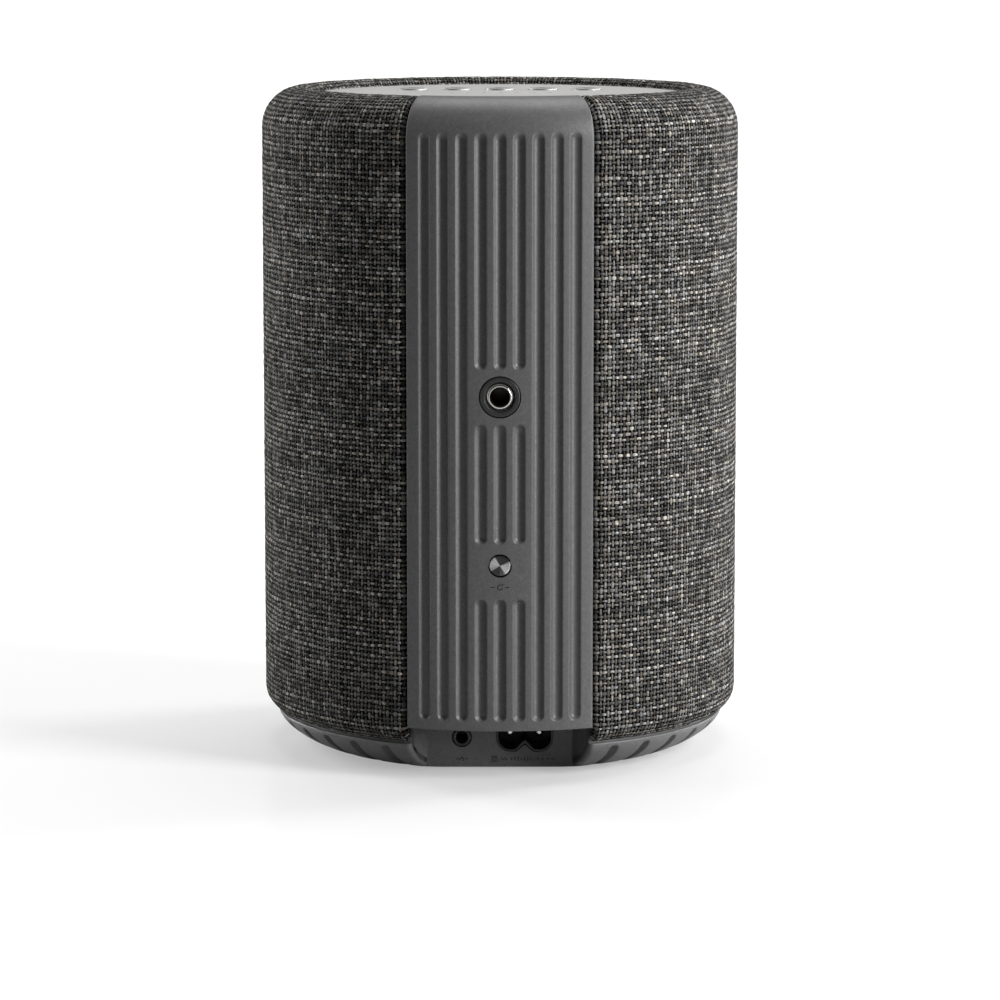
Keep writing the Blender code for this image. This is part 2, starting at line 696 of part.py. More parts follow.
def notch_cutter():
    """A round groove swept down the bowl at every notch's place."""
    radius, stand_off = groove_circle(NOTCH_WIDTH, NOTCH_DEPTH)
    path = curve(bowl_controls(), 4)[:-1]
    rings = []
    for index, (r, z) in enumerate(path):
        after = path[min(index + 1, len(path) - 1)]
        before = path[max(index - 1, 0)]
        run = Vector((after[0] - before[0], 0, after[1] - before[1])).normalized()
        out = Vector((-run.z, 0, run.x))
        rings.append((Vector((r, 0, z)) + out * stand_off, run, out))
    first_run = rings[0][1]
    top = rings[0][0] + first_run * (radius + GAP)
    shoulder = radius * math.sqrt(0.5)
    stations = [(top - first_run * shoulder, shoulder, rings[0][2]), (top, radius, rings[0][2])]
    stations += [(place, radius, out) for place, run, out in rings[1:]]
    sides = 6
    shape = bmesh.new()
    for index in range(NOTCH_COUNT):
        angle = math.pi / 2 + (index - (NOTCH_COUNT - 1) / 2) * NOTCH_PITCH
        start = len(shape.verts)
        tip = shape.verts.new(top - first_run * radius)
        loops = []
        for place, size, out in stations:
            points = []
            for side in range(sides):
                turn = math.tau * side / sides
                reach = out * math.cos(turn) + FRONT * math.sin(turn)
                points.append(place + reach * size)
            loops.append([shape.verts.new(point) for point in points])
        for one, other in zip(loops, loops[1:]):
            for side in range(sides):
                shape.faces.new((one[side - 1], one[side], other[side], other[side - 1]))
        for side in range(sides):
            shape.faces.new((tip, loops[0][side], loops[0][side - 1]))
        shape.faces.new(loops[-1])
        shape.verts.ensure_lookup_table()
        turn_about_axis(shape, shape.verts[start:], angle)
    return add_object("notch_cutter", shape)


def leg_places():
    """Where the cabinet's legs stand, seen from above."""
    return [(x * LEG_OFFSET, y * LEG_OFFSET) for x in (-1, 1) for y in (-1, 1)]


def make_base_shell(look):
    """The bowl, with the bay's side walls, posts for the boards and the foot's groove."""
    groove_top = BASE_LIFT + FOOT_GROOVE
    outline = [
        (0, BASE_LIFT), (FOOT_INNER_RADIUS - GAP, BASE_LIFT), (FOOT_INNER_RADIUS - GAP, groove_top),
        (FOOT_OUTER_RADIUS + GAP, groove_top), (FOOT_OUTER_RADIUS + GAP, BASE_LIFT),
    ]
    outline += curve(bowl_controls(), 4)[::-1]
    outline += [(SPIGOT_RADIUS, BASE_TOP), (SPIGOT_RADIUS, SPIGOT_TOP), (0, SPIGOT_TOP)]
    shell = turned("base_shell", outline, look["base"], SHELL_SEGMENTS)
    cavity_outline = [(0, BASE_LIFT + BASE_FLOOR)] + curve(bowl_cavity_controls(), 4)[::-1]
    cavity_outline += [(SPIGOT_RADIUS - SPIGOT_WALL, 2 * SPIGOT_TOP), (0, 2 * SPIGOT_TOP)]
    cavity = turned("base_cavity", cavity_outline, None, SHELL_SEGMENTS)
    reach = BODY_RADIUS + BASE_TOP
    walls_top = SPINE_FOOT - 2 * GAP
    cut(cavity, prism("bay_block", bay_outline(BAY_FACE, BAY_WALL, reach), -BASE_TOP, walls_top))
    half = BAY_HALF_WIDTH + BAY_PLATE_MARGIN + GAP
    slot = box(
        "bay_slot", (-half, -BAY_FACE - GAP, -BASE_TOP),
        (half, -BAY_FACE + BAY_PLATE + GAP, SPIGOT_TOP + BASE_TOP),
    )
    pocket = prism(
        "bay_pocket", bay_outline(BAY_FACE - GAP, 0, reach), -BASE_TOP, SPIGOT_TOP + BASE_TOP,
    )
    cut(shell, cavity, pocket, slot, notch_cutter())
    posts = bmesh.new()
    for x, y in board_post_places():
        add_box(
            posts, (x - POST_SIZE / 2, y - POST_SIZE / 2, BASE_LIFT + BASE_FLOOR / 2),
            (x + POST_SIZE / 2, y + POST_SIZE / 2, BOARD_HEIGHT - GAP),
        )
    join(shell, add_object("board_posts", posts))
    for index, (x, y) in enumerate(leg_places()):
        head = BASE_LIFT + SCREW_HEAD + 2 * GAP
        cut(
            shell,
            rod(f"base_hole_{index}", SCREW_RADIUS + GAP, -BASE_TOP, BASE_TOP, (x, y, 0)),
            rod(f"base_sink_{index}", SCREW_HEAD_RADIUS + GAP, -BASE_TOP, head, (x, y, 0)),
        )


def make_foot_ring(look):
    """The rubber ring that the speaker stands on, set in the base's groove."""
    top = BASE_LIFT + FOOT_GROOVE - GAP
    outline = [
        (FOOT_INNER_RADIUS, 0), (FOOT_OUTER_RADIUS, 0), (FOOT_OUTER_RADIUS, top),
        (FOOT_INNER_RADIUS, top),
    ]
    turned("foot_ring", outline, look["rubber"], SHELL_SEGMENTS)


def inlet_outline(shrink):
    """The inlet's mouth about its centre: square above, round below, with a wedge in the middle."""
    half = INLET_WIDTH / 2 - shrink
    top = INLET_HEIGHT / 2 - shrink
    low_corner = INLET_LOW_CORNER - shrink
    top_corner = max(INLET_TOP_CORNER - shrink, GAP)
    upper = (half - top_corner, top - top_corner)
    lower = (half - low_corner, low_corner - top)
    points = arc(upper, (top_corner, top_corner), math.pi / 2, 0, 3)
    points += arc(lower, (low_corner, low_corner), 0, -math.pi / 2, 5)
    points += [(INLET_WEDGE + shrink, -top), (0, INLET_WEDGE + shrink - top)]
    return points + [(-x, y) for x, y in points[-2::-1]]


def make_connector_plate(look):
    """The bay's flat face with the holes for both sockets, and the roof under the spine."""
    half = BAY_HALF_WIDTH + BAY_PLATE_MARGIN
    roof_low = SPINE_FOOT - GAP
    roof_high = roof_low + BAY_ROOF
    plate = box(
        "connector_plate", (-half, -BAY_FACE, BASE_LIFT),
        (half, -BAY_FACE + BAY_PLATE, roof_high), look["base"],
    )
    edge = BODY_RADIUS - SPINE_WALL - 2 * GAP
    span = SPINE_HALF_ANGLE * 0.97
    outer = arc((0, 0), (edge, edge), -math.pi / 2 - span, -math.pi / 2 + span, 8)
    root = (BAY_FACE - BAY_PLATE / 2)
    side = root * math.tan(span)
    join(plate, prism("bay_roof", outer + [(side, -root), (-side, -root)], roof_low, roof_high))
    jack = (JACK_X, -BAY_FACE, JACK_Z)
    inlet = (INLET_X, -BAY_FACE, INLET_Z)
    depth = 2 * BAY_PLATE
    cut(
        plate,
        rod("jack_hole", JACK_RADIUS + GAP, -depth, depth, jack, REAR),
        prism("inlet_hole", inlet_outline(0), -depth, depth, None, inlet, REAR),
    )


def make_aux_jack(look):
    """The jack: a box behind the plate with a round nose, bored from the front."""
    width, depth, height = JACK_BODY
    behind = -BAY_FACE + BAY_PLATE + GAP
    jack = box(
        "aux_jack", (JACK_X - width / 2, behind, JACK_Z - height / 2),
        (JACK_X + width / 2, behind + depth, JACK_Z + height / 2), look["black"],
    )
    face = (JACK_X, -BAY_FACE, JACK_Z)
    join(jack, rod("jack_nose", JACK_RADIUS, -2 * BAY_PLATE, GAP, face, REAR))
    cut(jack, rod("jack_bore", JACK_BORE, GAP - depth, depth, face, REAR))


def make_mains_inlet(look):
    """The inlet's housing behind the plate and its two pins."""
    centre = (INLET_X, -BAY_FACE, INLET_Z)
    behind = -BAY_FACE + BAY_PLATE + GAP
    half = INLET_WIDTH / 2 + INLET_WALL
    tall = min(INLET_HEIGHT / 2 + INLET_WALL, INLET_Z - BASE_LIFT - BASE_FLOOR - GAP)
    back = -BAY_FACE + INLET_DEPTH + INLET_WALL + BAY_PLATE
    housing = box(
        "mains_inlet", (INLET_X - half, behind, INLET_Z - tall),
        (INLET_X + half, back, INLET_Z + tall), look["black"],
    )
    mouth = inlet_outline(GAP)
    cut(housing, prism("inlet_hollow", mouth, -INLET_DEPTH, INLET_DEPTH, None, centre, REAR))
    for name, side in (("inlet_pin_left", -1), ("inlet_pin_right", 1)):
        place = (INLET_X + side * PIN_SPACING / 2, -BAY_FACE, INLET_Z)
        tail = -INLET_DEPTH - INLET_WALL - 2 * BAY_PLATE
        cut(housing, rod(f"{name}_hole", PIN_RADIUS + GAP, tail, -PIN_SPARE, place, REAR, 12))
        outline = [
            (0, tail + BAY_PLATE), (PIN_RADIUS, tail + BAY_PLATE),
            (PIN_RADIUS, -PIN_SPARE - PIN_RADIUS),
            (PIN_RADIUS * 0.7, -PIN_SPARE - PIN_RADIUS * 0.3), (0, -PIN_SPARE),
        ]
        turned(name, outline, look["chrome"], 12, place, REAR)


# ---- Top plate, buttons and their board ----

def button_places():
    """The middle of each top button along X."""
    return [(index - (BUTTON_COUNT - 1) / 2) * BUTTON_PITCH for index in range(BUTTON_COUNT)]


def light_places():
    """The middle of each status light along X."""
    return [(index - (LIGHT_COUNT - 1) / 2) * LIGHT_PITCH for index in range(LIGHT_COUNT)]


def make_top_plate(look):
    """The recessed disc, stepped back where the spine comes over, with holes for its keys."""
    outline = [
        (0, PLATE_BOTTOM), (PLATE_RADIUS, PLATE_BOTTOM), (PLATE_RADIUS, PLATE_TOP - GAP),
        (PLATE_RADIUS - GAP, PLATE_TOP), (0, PLATE_TOP),
    ]
    plate = turned("top_plate", outline, look["plate"], SHELL_SEGMENTS)
    tip = CREST_RADIUS - SPINE_LIP_WIDTH - GAP
    side_gap = 2 * GAP / tip
    notch = [
        (tip, PLATE_BOTTOM - LEDGE_THICKNESS), (BODY_RADIUS, PLATE_BOTTOM - LEDGE_THICKNESS),
        (BODY_RADIUS, BODY_HEIGHT), (tip, BODY_HEIGHT),
    ]
    cut(plate, sector("plate_notch", notch, SPINE_HALF_ANGLE + side_gap, 8))
    holes = bmesh.new()
    for x in button_places():
        add_hole(holes, BUTTON_RADIUS + GAP, (x, BUTTON_ROW), 12)
    for x in light_places():
        add_hole(holes, LIGHT_RADIUS + GAP, (x, LIGHT_ROW), 6)
    cut(plate, add_object("plate_holes", holes))


def add_hole(shape, radius, place, segments):
    """Add a cylinder that passes through the top plate to a bmesh."""
    made = bmesh.ops.create_cone(
        shape, cap_ends=True, segments=segments, radius1=radius, radius2=radius,
        depth=4 * PLATE_THICKNESS,
    )
    middle = (*place, (PLATE_TOP + PLATE_BOTTOM) / 2)
    bmesh.ops.translate(shape, verts=made["verts"], vec=middle)


def make_top_buttons(look):
    """Each button with its flange and stem, and the switch under it."""
    face = PLATE_TOP + BUTTON_RISE
    flange_top = PLATE_BOTTOM - GAP
    flange_bottom = flange_top - FLANGE_THICKNESS
    edge = BUTTON_RADIUS + BUTTON_FLANGE
    outline = [
        (0, face), (BUTTON_RADIUS - GAP, face), (BUTTON_RADIUS, face - GAP),
        (BUTTON_RADIUS, flange_top), (edge, flange_top), (edge, flange_bottom),
        (STEM_RADIUS, flange_bottom), (STEM_RADIUS, STEM_BOTTOM), (0, STEM_BOTTOM),
    ]
    local = [(radius, height - face) for radius, height in outline]
    half = SWITCH_SIZE / 2
    for index, x in enumerate(button_places(), start=1):
        turned(f"top_button_{index}", local, look["spun"], 12, (x, BUTTON_ROW, face))
        box(
            f"key_switch_{index}", (x - half, BUTTON_ROW - half, SWITCH_TOP - SWITCH_HEIGHT),
            (x + half, BUTTON_ROW + half, SWITCH_TOP), look["black"],
        )


def make_button_board(look):
    """The board under the keys, and the light guide above it."""
    half = (BUTTON_COUNT - 1) / 2 * BUTTON_PITCH + 2 * BUTTON_RADIUS
    box(
        "button_board", (-half, LIGHT_ROW - SWITCH_SIZE, KEY_BOARD_TOP - BOARD_THICKNESS),
        (half, BUTTON_ROW + SWITCH_SIZE, KEY_BOARD_TOP), look["board"],
    )
    width, height = LIGHT_BAR
    reach = (LIGHT_COUNT - 1) / 2 * LIGHT_PITCH + width / 2
    top = PLATE_BOTTOM - GAP
    guide = box(
        "light_guide", (-reach, LIGHT_ROW - width / 2, top - height),
        (reach, LIGHT_ROW + width / 2, top), look["clear"],
    )
    for index, x in enumerate(light_places()):
        pip = rod(
            f"light_pip_{index}", LIGHT_RADIUS, top - height / 2, PLATE_TOP - GAP / 3,
            (x, LIGHT_ROW, 0), UP, 6,
        )
        join(guide, pip)


# ---- Cabinet ----

def octagon(half):
    """A square outline with its corners cut off."""
    flat = half - CABINET_CORNER
    return [
        (half, -flat), (half, flat), (flat, half), (-flat, half),
        (-half, flat), (-half, -flat), (-flat, -half), (flat, -half),
    ]


def make_cabinet(look):
    """The sealed box of the drivers, with a skirt and legs that stand in the base."""
    body = prism("cabinet_body", octagon(CABINET_HALF), SKIRT_FOOT, CABINET_TOP, look["cabinet"])
    spare = CABINET_WALL
    inner = octagon(CABINET_INSIDE)
    upper = prism("cabinet_room", inner, CABINET_FLOOR + CABINET_WALL, CABINET_TOP + spare)
    lower = prism("skirt_room", inner, SKIRT_FOOT - spare, CABINET_FLOOR)
    wide = BAY_HALF_WIDTH + BAY_PLATE_MARGIN + LEG_RADIUS
    doorway = box(
        "skirt_doorway", (-wide, -BODY_RADIUS, 0),
        (wide, -CABINET_INSIDE + 2 * spare, BOARD_HEIGHT + spare),
    )
    cut(body, upper, lower, doorway)
    for index, (x, y) in enumerate(leg_places()):
        foot = BASE_LIFT + BASE_FLOOR + GAP
        head = CABINET_FLOOR + spare / 2
        join(body, rod(f"leg_{index}", LEG_RADIUS, foot, head, (x, y, 0)))
        cut(body, rod(f"leg_hole_{index}", SCREW_RADIUS + GAP, 0, SKIRT_FOOT, (x, y, 0)))
    reach = 2 * CABINET_WALL
    for name, axis in (("woofer", FRONT), ("left", LEFT), ("right", RIGHT)):
        place = Vector((0, 0, DRIVER_HEIGHT)) + axis * CABINET_HALF
        cut(body, rod(f"{name}_hole", OPENING_RADIUS, -reach, reach, place, axis, 18))
    place = (0, CABINET_HALF, TWEETER_HEIGHT)
    throat = TWEETER_RADIUS - SURROUND_WIDTH / 2
    cut(body, rod("tweeter_hole", throat, -reach, reach, place, FRONT, 16))
    for index, (x, z) in enumerate(woofer_screw_places()):
        place = (x, CABINET_HALF, z)
        cut(body, rod(f"wall_hole_{index}", SCREW_RADIUS + GAP, -reach, reach, place, FRONT, 8))


def make_lid(look):
    """The cabinet's lid with posts for the button board, and the gasket under it."""
    low = LID_TOP - LID_THICKNESS
    lid = prism("cabinet_lid", octagon(CABINET_HALF), low, LID_TOP, look["cabinet"])
    posts = bmesh.new()
    half = (BUTTON_COUNT - 1) / 2 * BUTTON_PITCH + BUTTON_RADIUS
    high = KEY_BOARD_TOP - BOARD_THICKNESS - GAP
    for x in (-half, half):
        for y in (LIGHT_ROW, BUTTON_ROW):
            add_box(
                posts, (x - STEM_RADIUS, y - STEM_RADIUS, low + LID_THICKNESS / 2),
                (x + STEM_RADIUS, y + STEM_RADIUS, high),
            )
    join(lid, add_object("lid_posts", posts))
    gasket = prism(
        "cabinet_gasket", octagon(CABINET_HALF), GASKET_TOP - GASKET_THICKNESS, GASKET_TOP,
        look["rubber"],
    )
    cut(gasket, prism("gasket_room", octagon(CABINET_INSIDE), 0, BODY_HEIGHT))


# ---- Drivers ----

def surround_outline():
    """Section of a half-roll surround between its inner and outer lips."""
    low = GAP + FLANGE_HEIGHT / 2
    high = low + SHEET
    near = SURROUND_INNER + SHEET + GAP
    far = SURROUND_OUTER - FLANGE_RING / 2
    middle = (near + far) / 2
    half = (far - near) / 2
    over = arc((middle, high), (half, SURROUND_ROLL), math.pi, 0, 4)
    under = arc((middle, low), (half - SHEET, SURROUND_ROLL), 0, math.pi, 4)
    return (
        [(SURROUND_INNER, low), (SURROUND_INNER, high)] + over
        + [(SURROUND_OUTER, high), (SURROUND_OUTER, low)] + under
    )


def basket_slope(depth):
    """Inner radius of the woofer's basket at a depth behind the flange's seat."""
    seat = OPENING_RADIUS - FLANGE_RING / 2
    bottom = MAGNET_RADIUS - BASKET_PLATE
    return seat + (bottom - seat) * depth / BASKET_DEPTH


def make_woofer(look):
    """The woofer: basket, magnet, yoke, spider, surround, cone and screws."""
    place = (0, CABINET_HALF, DRIVER_HEIGHT)
    seat = FLANGE_HEIGHT / 2
    coil_hole = COIL_RADIUS + 2 * COIL_SLOT
    bottom = basket_slope(BASKET_DEPTH)
    plate_low = -BASKET_DEPTH - BASKET_PLATE
    basket = [
        (DRIVER_RADIUS, GAP), (DRIVER_RADIUS, FLANGE_TOP), (OPENING_RADIUS, FLANGE_TOP),
        (OPENING_RADIUS, seat), (basket_slope(0), seat), (bottom, -BASKET_DEPTH),
        (coil_hole, -BASKET_DEPTH), (coil_hole, plate_low), (bottom + 2 * SHEET, plate_low),
        (basket_slope(0) + 2 * SHEET, GAP),
    ]
    frame = turned("woofer_basket", basket, look["steel"], 18, place, FRONT)
    hub = -BASKET_DEPTH * 0.6
    for index in range(4):
        angle = math.pi / 4 + index * math.pi / 2
        middle = Vector((math.cos(angle), 0, math.sin(angle)))
        start = Vector(place) + FRONT * hub
        cut(frame, rod(
            f"basket_window_{index}", BASKET_DEPTH / 4, MAGNET_RADIUS / 2, 2 * MAGNET_RADIUS,
            start, middle,
        ))
    magnet_top = plate_low - GAP
    magnet_low = magnet_top - MAGNET_HEIGHT
    ring = [
        (coil_hole + COIL_SLOT, magnet_low), (MAGNET_RADIUS, magnet_low),
        (MAGNET_RADIUS, magnet_top), (coil_hole + COIL_SLOT, magnet_top),
    ]
    turned("woofer_magnet", ring, look["ferrite"], 18, place, FRONT)
    pole = COIL_RADIUS - 2 * COIL_SLOT
    yoke_top = magnet_low - GAP
    yoke = [
        (0, yoke_top - YOKE_PLATE), (MAGNET_RADIUS, yoke_top - YOKE_PLATE), (MAGNET_RADIUS, yoke_top),
        (pole, yoke_top), (pole, -BASKET_DEPTH - GAP), (0, -BASKET_DEPTH - GAP),
    ]
    turned("woofer_yoke", yoke, look["steel"], 18, place, FRONT)
    turned("woofer_surround", surround_outline(), look["rubber"], 18, place, FRONT)
    turned("woofer_cone", cone_outline(), look["pulp"], 18, place, FRONT)
    turned("woofer_spider", spider_outline(), look["cloth"], 16, place, FRONT)
    for index, (x, z) in enumerate(woofer_screw_places(), start=1):
        cut(frame, rod(f"flange_hole_{index}", SCREW_RADIUS + GAP, 0, 2 * FLANGE_TOP,
                       (x, CABINET_HALF, z), FRONT, 8))
        head = FLANGE_TOP + GAP
        screw(f"woofer_screw_{index}", head, head + 2 * SCREW_HEAD, -2 * CABINET_WALL,
              (x, CABINET_HALF, z), FRONT, look)


def woofer_screw_places():
    """Middles of the woofer's screws, as X and Z."""
    circle = DRIVER_RADIUS - FLANGE_RING / 2
    angles = [math.pi / 4 + index * math.pi / 2 for index in range(4)]
    return [(circle * math.cos(a), DRIVER_HEIGHT + circle * math.sin(a)) for a in angles]


def screw(name, seat, top, tip, place, axis, look):
    """A pan-head screw whose head runs from its seat to its top."""
    outline = [
        (0, top), (SCREW_HEAD_RADIUS * 0.8, top), (SCREW_HEAD_RADIUS, (top + seat) / 2),
        (SCREW_HEAD_RADIUS, seat), (SCREW_RADIUS, seat), (SCREW_RADIUS, tip), (0, tip),
    ]
    turned(name, outline, look["steel"], 8, place, axis)


def cone_outline():
    """Section of the woofer's cone with its dust cap and coil former."""
    low = GAP + FLANGE_HEIGHT / 2
    high = low + SHEET
    neck = -BASKET_DEPTH / 2
    cap = COIL_RADIUS + SHEET
    coil_out = COIL_RADIUS + COIL_SLOT / 2
    coil_in = COIL_RADIUS - COIL_SLOT / 2
    tail = -BASKET_DEPTH - 2 * BASKET_PLATE
    dome = arc((0, neck), (cap, cap / 2), math.pi / 2, 0, 3)
    under = arc((0, neck - 2 * SHEET), (coil_in, cap / 2), 0, math.pi / 2, 3)
    return (
        dome + [(CONE_RADIUS - SHEET, high), (CONE_RADIUS, high), (CONE_RADIUS, low)]
        + [(cap + SHEET, neck - SHEET), (coil_out, neck - 2 * SHEET)]
        + [(coil_out, tail), (coil_in, tail)] + under
    )


def spider_outline():
    """Section of the corrugated ring that centres the coil."""
    level = -BASKET_DEPTH * 0.8
    near = COIL_RADIUS + COIL_SLOT / 2 + GAP
    far = basket_slope(-level) - SHEET
    waves = 4
    top = []
    for step in range(waves + 1):
        lift = SHEET if step % 2 else 0
        top.append((near + (far - near) * step / waves, level + lift))
    return top + [(radius, height - SHEET) for radius, height in reversed(top)]


def make_tweeter(look):
    """The tweeter: front plate, dome and magnet."""
    place = (0, CABINET_HALF, TWEETER_HEIGHT)
    throat = DOME_RADIUS + GAP + DOME_TRAVEL / 3
    plate = [
        (TWEETER_RADIUS, GAP), (TWEETER_RADIUS, FLANGE_TOP - SHEET),
        (TWEETER_RADIUS - SHEET, FLANGE_TOP), (throat + 3 * SHEET, FLANGE_TOP),
        (throat, FLANGE_TOP / 2), (throat, GAP),
    ]
    turned("tweeter_plate", plate, look["black"], 18, place, FRONT)
    height = DOME_RADIUS * 0.4
    over = arc((0, SHEET), (DOME_RADIUS, height), math.pi / 2, 0, 4)
    under = arc((0, 0), (DOME_RADIUS - SHEET, height), 0, math.pi / 2, 4)
    turned("tweeter_dome", over + under, look["cloth"], 16, place, FRONT)
    magnet = TWEETER_RADIUS - SURROUND_WIDTH / 2 - 2 * GAP
    behind = -2 * DOME_TRAVEL - GAP
    outline = [(0, behind - magnet), (magnet, behind - magnet), (magnet, behind), (0, behind)]
    turned("tweeter_magnet", outline, look["ferrite"], 16, place, FRONT)


def make_radiator(side, axis, look):
    """One passive radiator: frame, surround and weighted cone."""
    place = Vector((0, 0, DRIVER_HEIGHT)) + axis * CABINET_HALF
    seat = FLANGE_HEIGHT / 2
    back = -CABINET_WALL - SHEET
    frame = [
        (DRIVER_RADIUS, GAP), (DRIVER_RADIUS, FLANGE_TOP), (OPENING_RADIUS, FLANGE_TOP),
        (OPENING_RADIUS, seat), (basket_slope(0), seat), (basket_slope(0), back),
        (basket_slope(0) + 2 * SHEET, back), (basket_slope(0) + 2 * SHEET, GAP),
    ]
    turned(f"radiator_{side}_frame", frame, look["black"], 18, place, axis)
    turned(f"radiator_{side}_surround", surround_outline(), look["rubber"], 18, place, axis)
    low = GAP + FLANGE_HEIGHT / 2
    high = low + SHEET
    weight = CONE_RADIUS / 3
    deep = CONE_TRAVEL - RADIATOR_DEPTH
    cone = [
        (0, -2 * SHEET), (weight, -2 * SHEET), (CONE_RADIUS - SHEET, high), (CONE_RADIUS, high),
        (CONE_RADIUS, low), (weight + SHEET, -4 * SHEET), (weight, deep), (0, deep),
    ]
    turned(f"radiator_{side}_cone", cone, look["pulp"], 18, place, axis)


# ---- Electronics ----

def board_half_width():
    """How far the boards reach to each side between the cabinet's legs."""
    return LEG_OFFSET - LEG_RADIUS - 3 * GAP


def board_front():
    """How far the boards reach forwards inside the skirt."""
    return CABINET_INSIDE - 2 * CABINET_WALL


def board_post_places():
    """Where the base's posts carry the boards."""
    x = board_half_width() - POST_SIZE
    rows = (BOARD_REAR + POST_SIZE, board_front() - POST_SIZE)
    return [(side * x, y) for side in (-1, 1) for y in rows]


def make_electronics(look):
    """Power side on the left, amplifier side on the right."""
    half = board_half_width()
    front = board_front()
    top = BOARD_HEIGHT + BOARD_THICKNESS
    for name, left, right in (("power_board", -half, -GAP), ("amplifier_board", GAP, half)):
        box(name, (left, BOARD_REAR, BOARD_HEIGHT), (right, front, top), look["board"])
    seat = top + GAP
    middle = half / 2
    winding = middle - WINDING_MARGIN
    core = winding - WINDING_REACH
    length, height = TRANSFORMER_LENGTH, TRANSFORMER_HEIGHT
    low = -length / 4
    transformer = box(
        "transformer", (-middle - core, low - length / 2, seat),
        (-middle + core, low + length / 2, seat + height), look["ferrite"],
    )
    join(transformer, box(
        "transformer_winding", (-middle - winding, low - length / 3, seat + height / 4),
        (-middle + winding, low + length / 3, seat + height * 0.75),
    ))
    can = [
        (0, seat), (CAPACITOR_RADIUS, seat), (CAPACITOR_RADIUS, seat + CAPACITOR_HEIGHT),
        (0, seat + CAPACITOR_HEIGHT),
    ]
    can_y = front - CAPACITOR_RADIUS - SWITCH_SIZE
    turned("filter_capacitor", can, look["black"], 16, (-middle, can_y, 0))
    width = 2 * (middle - SINK_MARGIN)
    outline = [(-width / 2, seat), (width / 2, seat)]
    pitch = (width - FIN_THICKNESS) / (SINK_FINS - 1)
    for fin in reversed(range(SINK_FINS)):
        left = -width / 2 + fin * pitch
        right = left + FIN_THICKNESS
        outline += [(right, seat + SINK_HEIGHT), (left, seat + SINK_HEIGHT)]
        if fin:
            outline += [(left, seat + SINK_BASE), (left - pitch + FIN_THICKNESS, seat + SINK_BASE)]
    half_length = SINK_LENGTH / 2
    place = (middle, -SINK_LENGTH / 6, 0)
    prism("heat_sink", outline, -half_length, half_length, look["sink"], place, REAR)
    width, length, height = MODULE_SIZE
    box(
        "wireless_module", (middle - width / 2, can_y - length / 2, seat),
        (middle + width / 2, can_y + length / 2, seat + height), look["steel"],
    )


def make_base_screws(look):
    """The screws that hold the base to the cabinet's legs, driven from below."""
    for index, (x, y) in enumerate(leg_places(), start=1):
        seat = -BASE_LIFT - SCREW_HEAD - GAP
        screw(f"base_screw_{index}", seat, seat + SCREW_HEAD, GAP - SKIRT_FOOT, (x, y, 0), -UP, look)


def main():
    """Make every piece of the speaker."""
    clear_scene()
    look = finishes()
    make_fabric_cover(look)
    make_grille_frame(look)
    make_rear_panel(look)
    make_insert(look)
    make_reset(look)
    make_base_shell(look)
    make_foot_ring(look)
    make_connector_plate(look)
    make_aux_jack(look)
    make_mains_inlet(look)
    make_top_plate(look)
    make_top_buttons(look)
    make_button_board(look)
    make_cabinet(look)
    make_lid(look)
    make_woofer(look)
    make_tweeter(look)
    make_radiator("left", LEFT, look)
    make_radiator("right", RIGHT, look)
    make_electronics(look)
    make_base_screws(look)


main()
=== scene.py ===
"""Looks of a round cloth-wrapped smart speaker with a fluted spine and a notched base.

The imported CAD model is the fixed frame: metres, +Z up, the spine facing -Y. Each sub-assembly is
a class that shapes its visible pieces and gives them and the carried-over CAD nodes a finish.
"""
import logging
import math
from dataclasses import dataclass
from enum import Enum
from typing import Callable, Iterable, Sequence

import bmesh
import bpy
import numpy as np
from mathutils import Matrix, Vector
from mathutils.kdtree import KDTree


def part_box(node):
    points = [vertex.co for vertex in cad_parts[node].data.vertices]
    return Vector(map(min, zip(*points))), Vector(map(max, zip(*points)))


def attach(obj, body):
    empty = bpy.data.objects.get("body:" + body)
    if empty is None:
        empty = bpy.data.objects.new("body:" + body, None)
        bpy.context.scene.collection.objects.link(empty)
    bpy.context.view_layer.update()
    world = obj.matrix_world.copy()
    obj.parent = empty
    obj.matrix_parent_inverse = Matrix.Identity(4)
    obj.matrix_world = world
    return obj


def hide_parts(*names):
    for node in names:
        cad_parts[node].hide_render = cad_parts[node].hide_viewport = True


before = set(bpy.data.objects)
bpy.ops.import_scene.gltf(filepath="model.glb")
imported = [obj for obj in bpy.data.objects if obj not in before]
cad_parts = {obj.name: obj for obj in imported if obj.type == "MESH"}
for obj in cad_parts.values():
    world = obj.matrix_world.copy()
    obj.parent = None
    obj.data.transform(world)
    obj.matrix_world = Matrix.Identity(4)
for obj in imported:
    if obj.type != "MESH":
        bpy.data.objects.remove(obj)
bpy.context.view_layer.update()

log = logging.getLogger("speaker")

Point = tuple[float, float]
Colour = tuple[float, float, float]
Value = float | bpy.types.NodeSocket

UP = Vector((0, 0, 1))
REAR = Vector((0, -1, 0))
MM = 0.001


class Slot(Enum):
    """Material slots."""

    CLOTH = "cloth"
    SPINE = "spine_plastic"
    BASE = "base_plastic"
    PLATE = "plate_lacquer"
    SPUN = "spun_metal"
    BRIGHT = "bright_plate"
    BLACK = "black_plastic"
    CABINET = "cabinet_plastic"
    RUBBER = "rubber"
    BOARD = "circuit_board"
    STEEL = "zinc_steel"
    FERRITE = "ferrite"
    PULP = "cone_pulp"
    LIGHT = "light_guide"
    SINK = "sink_aluminium"


# ---- Node graphs ----

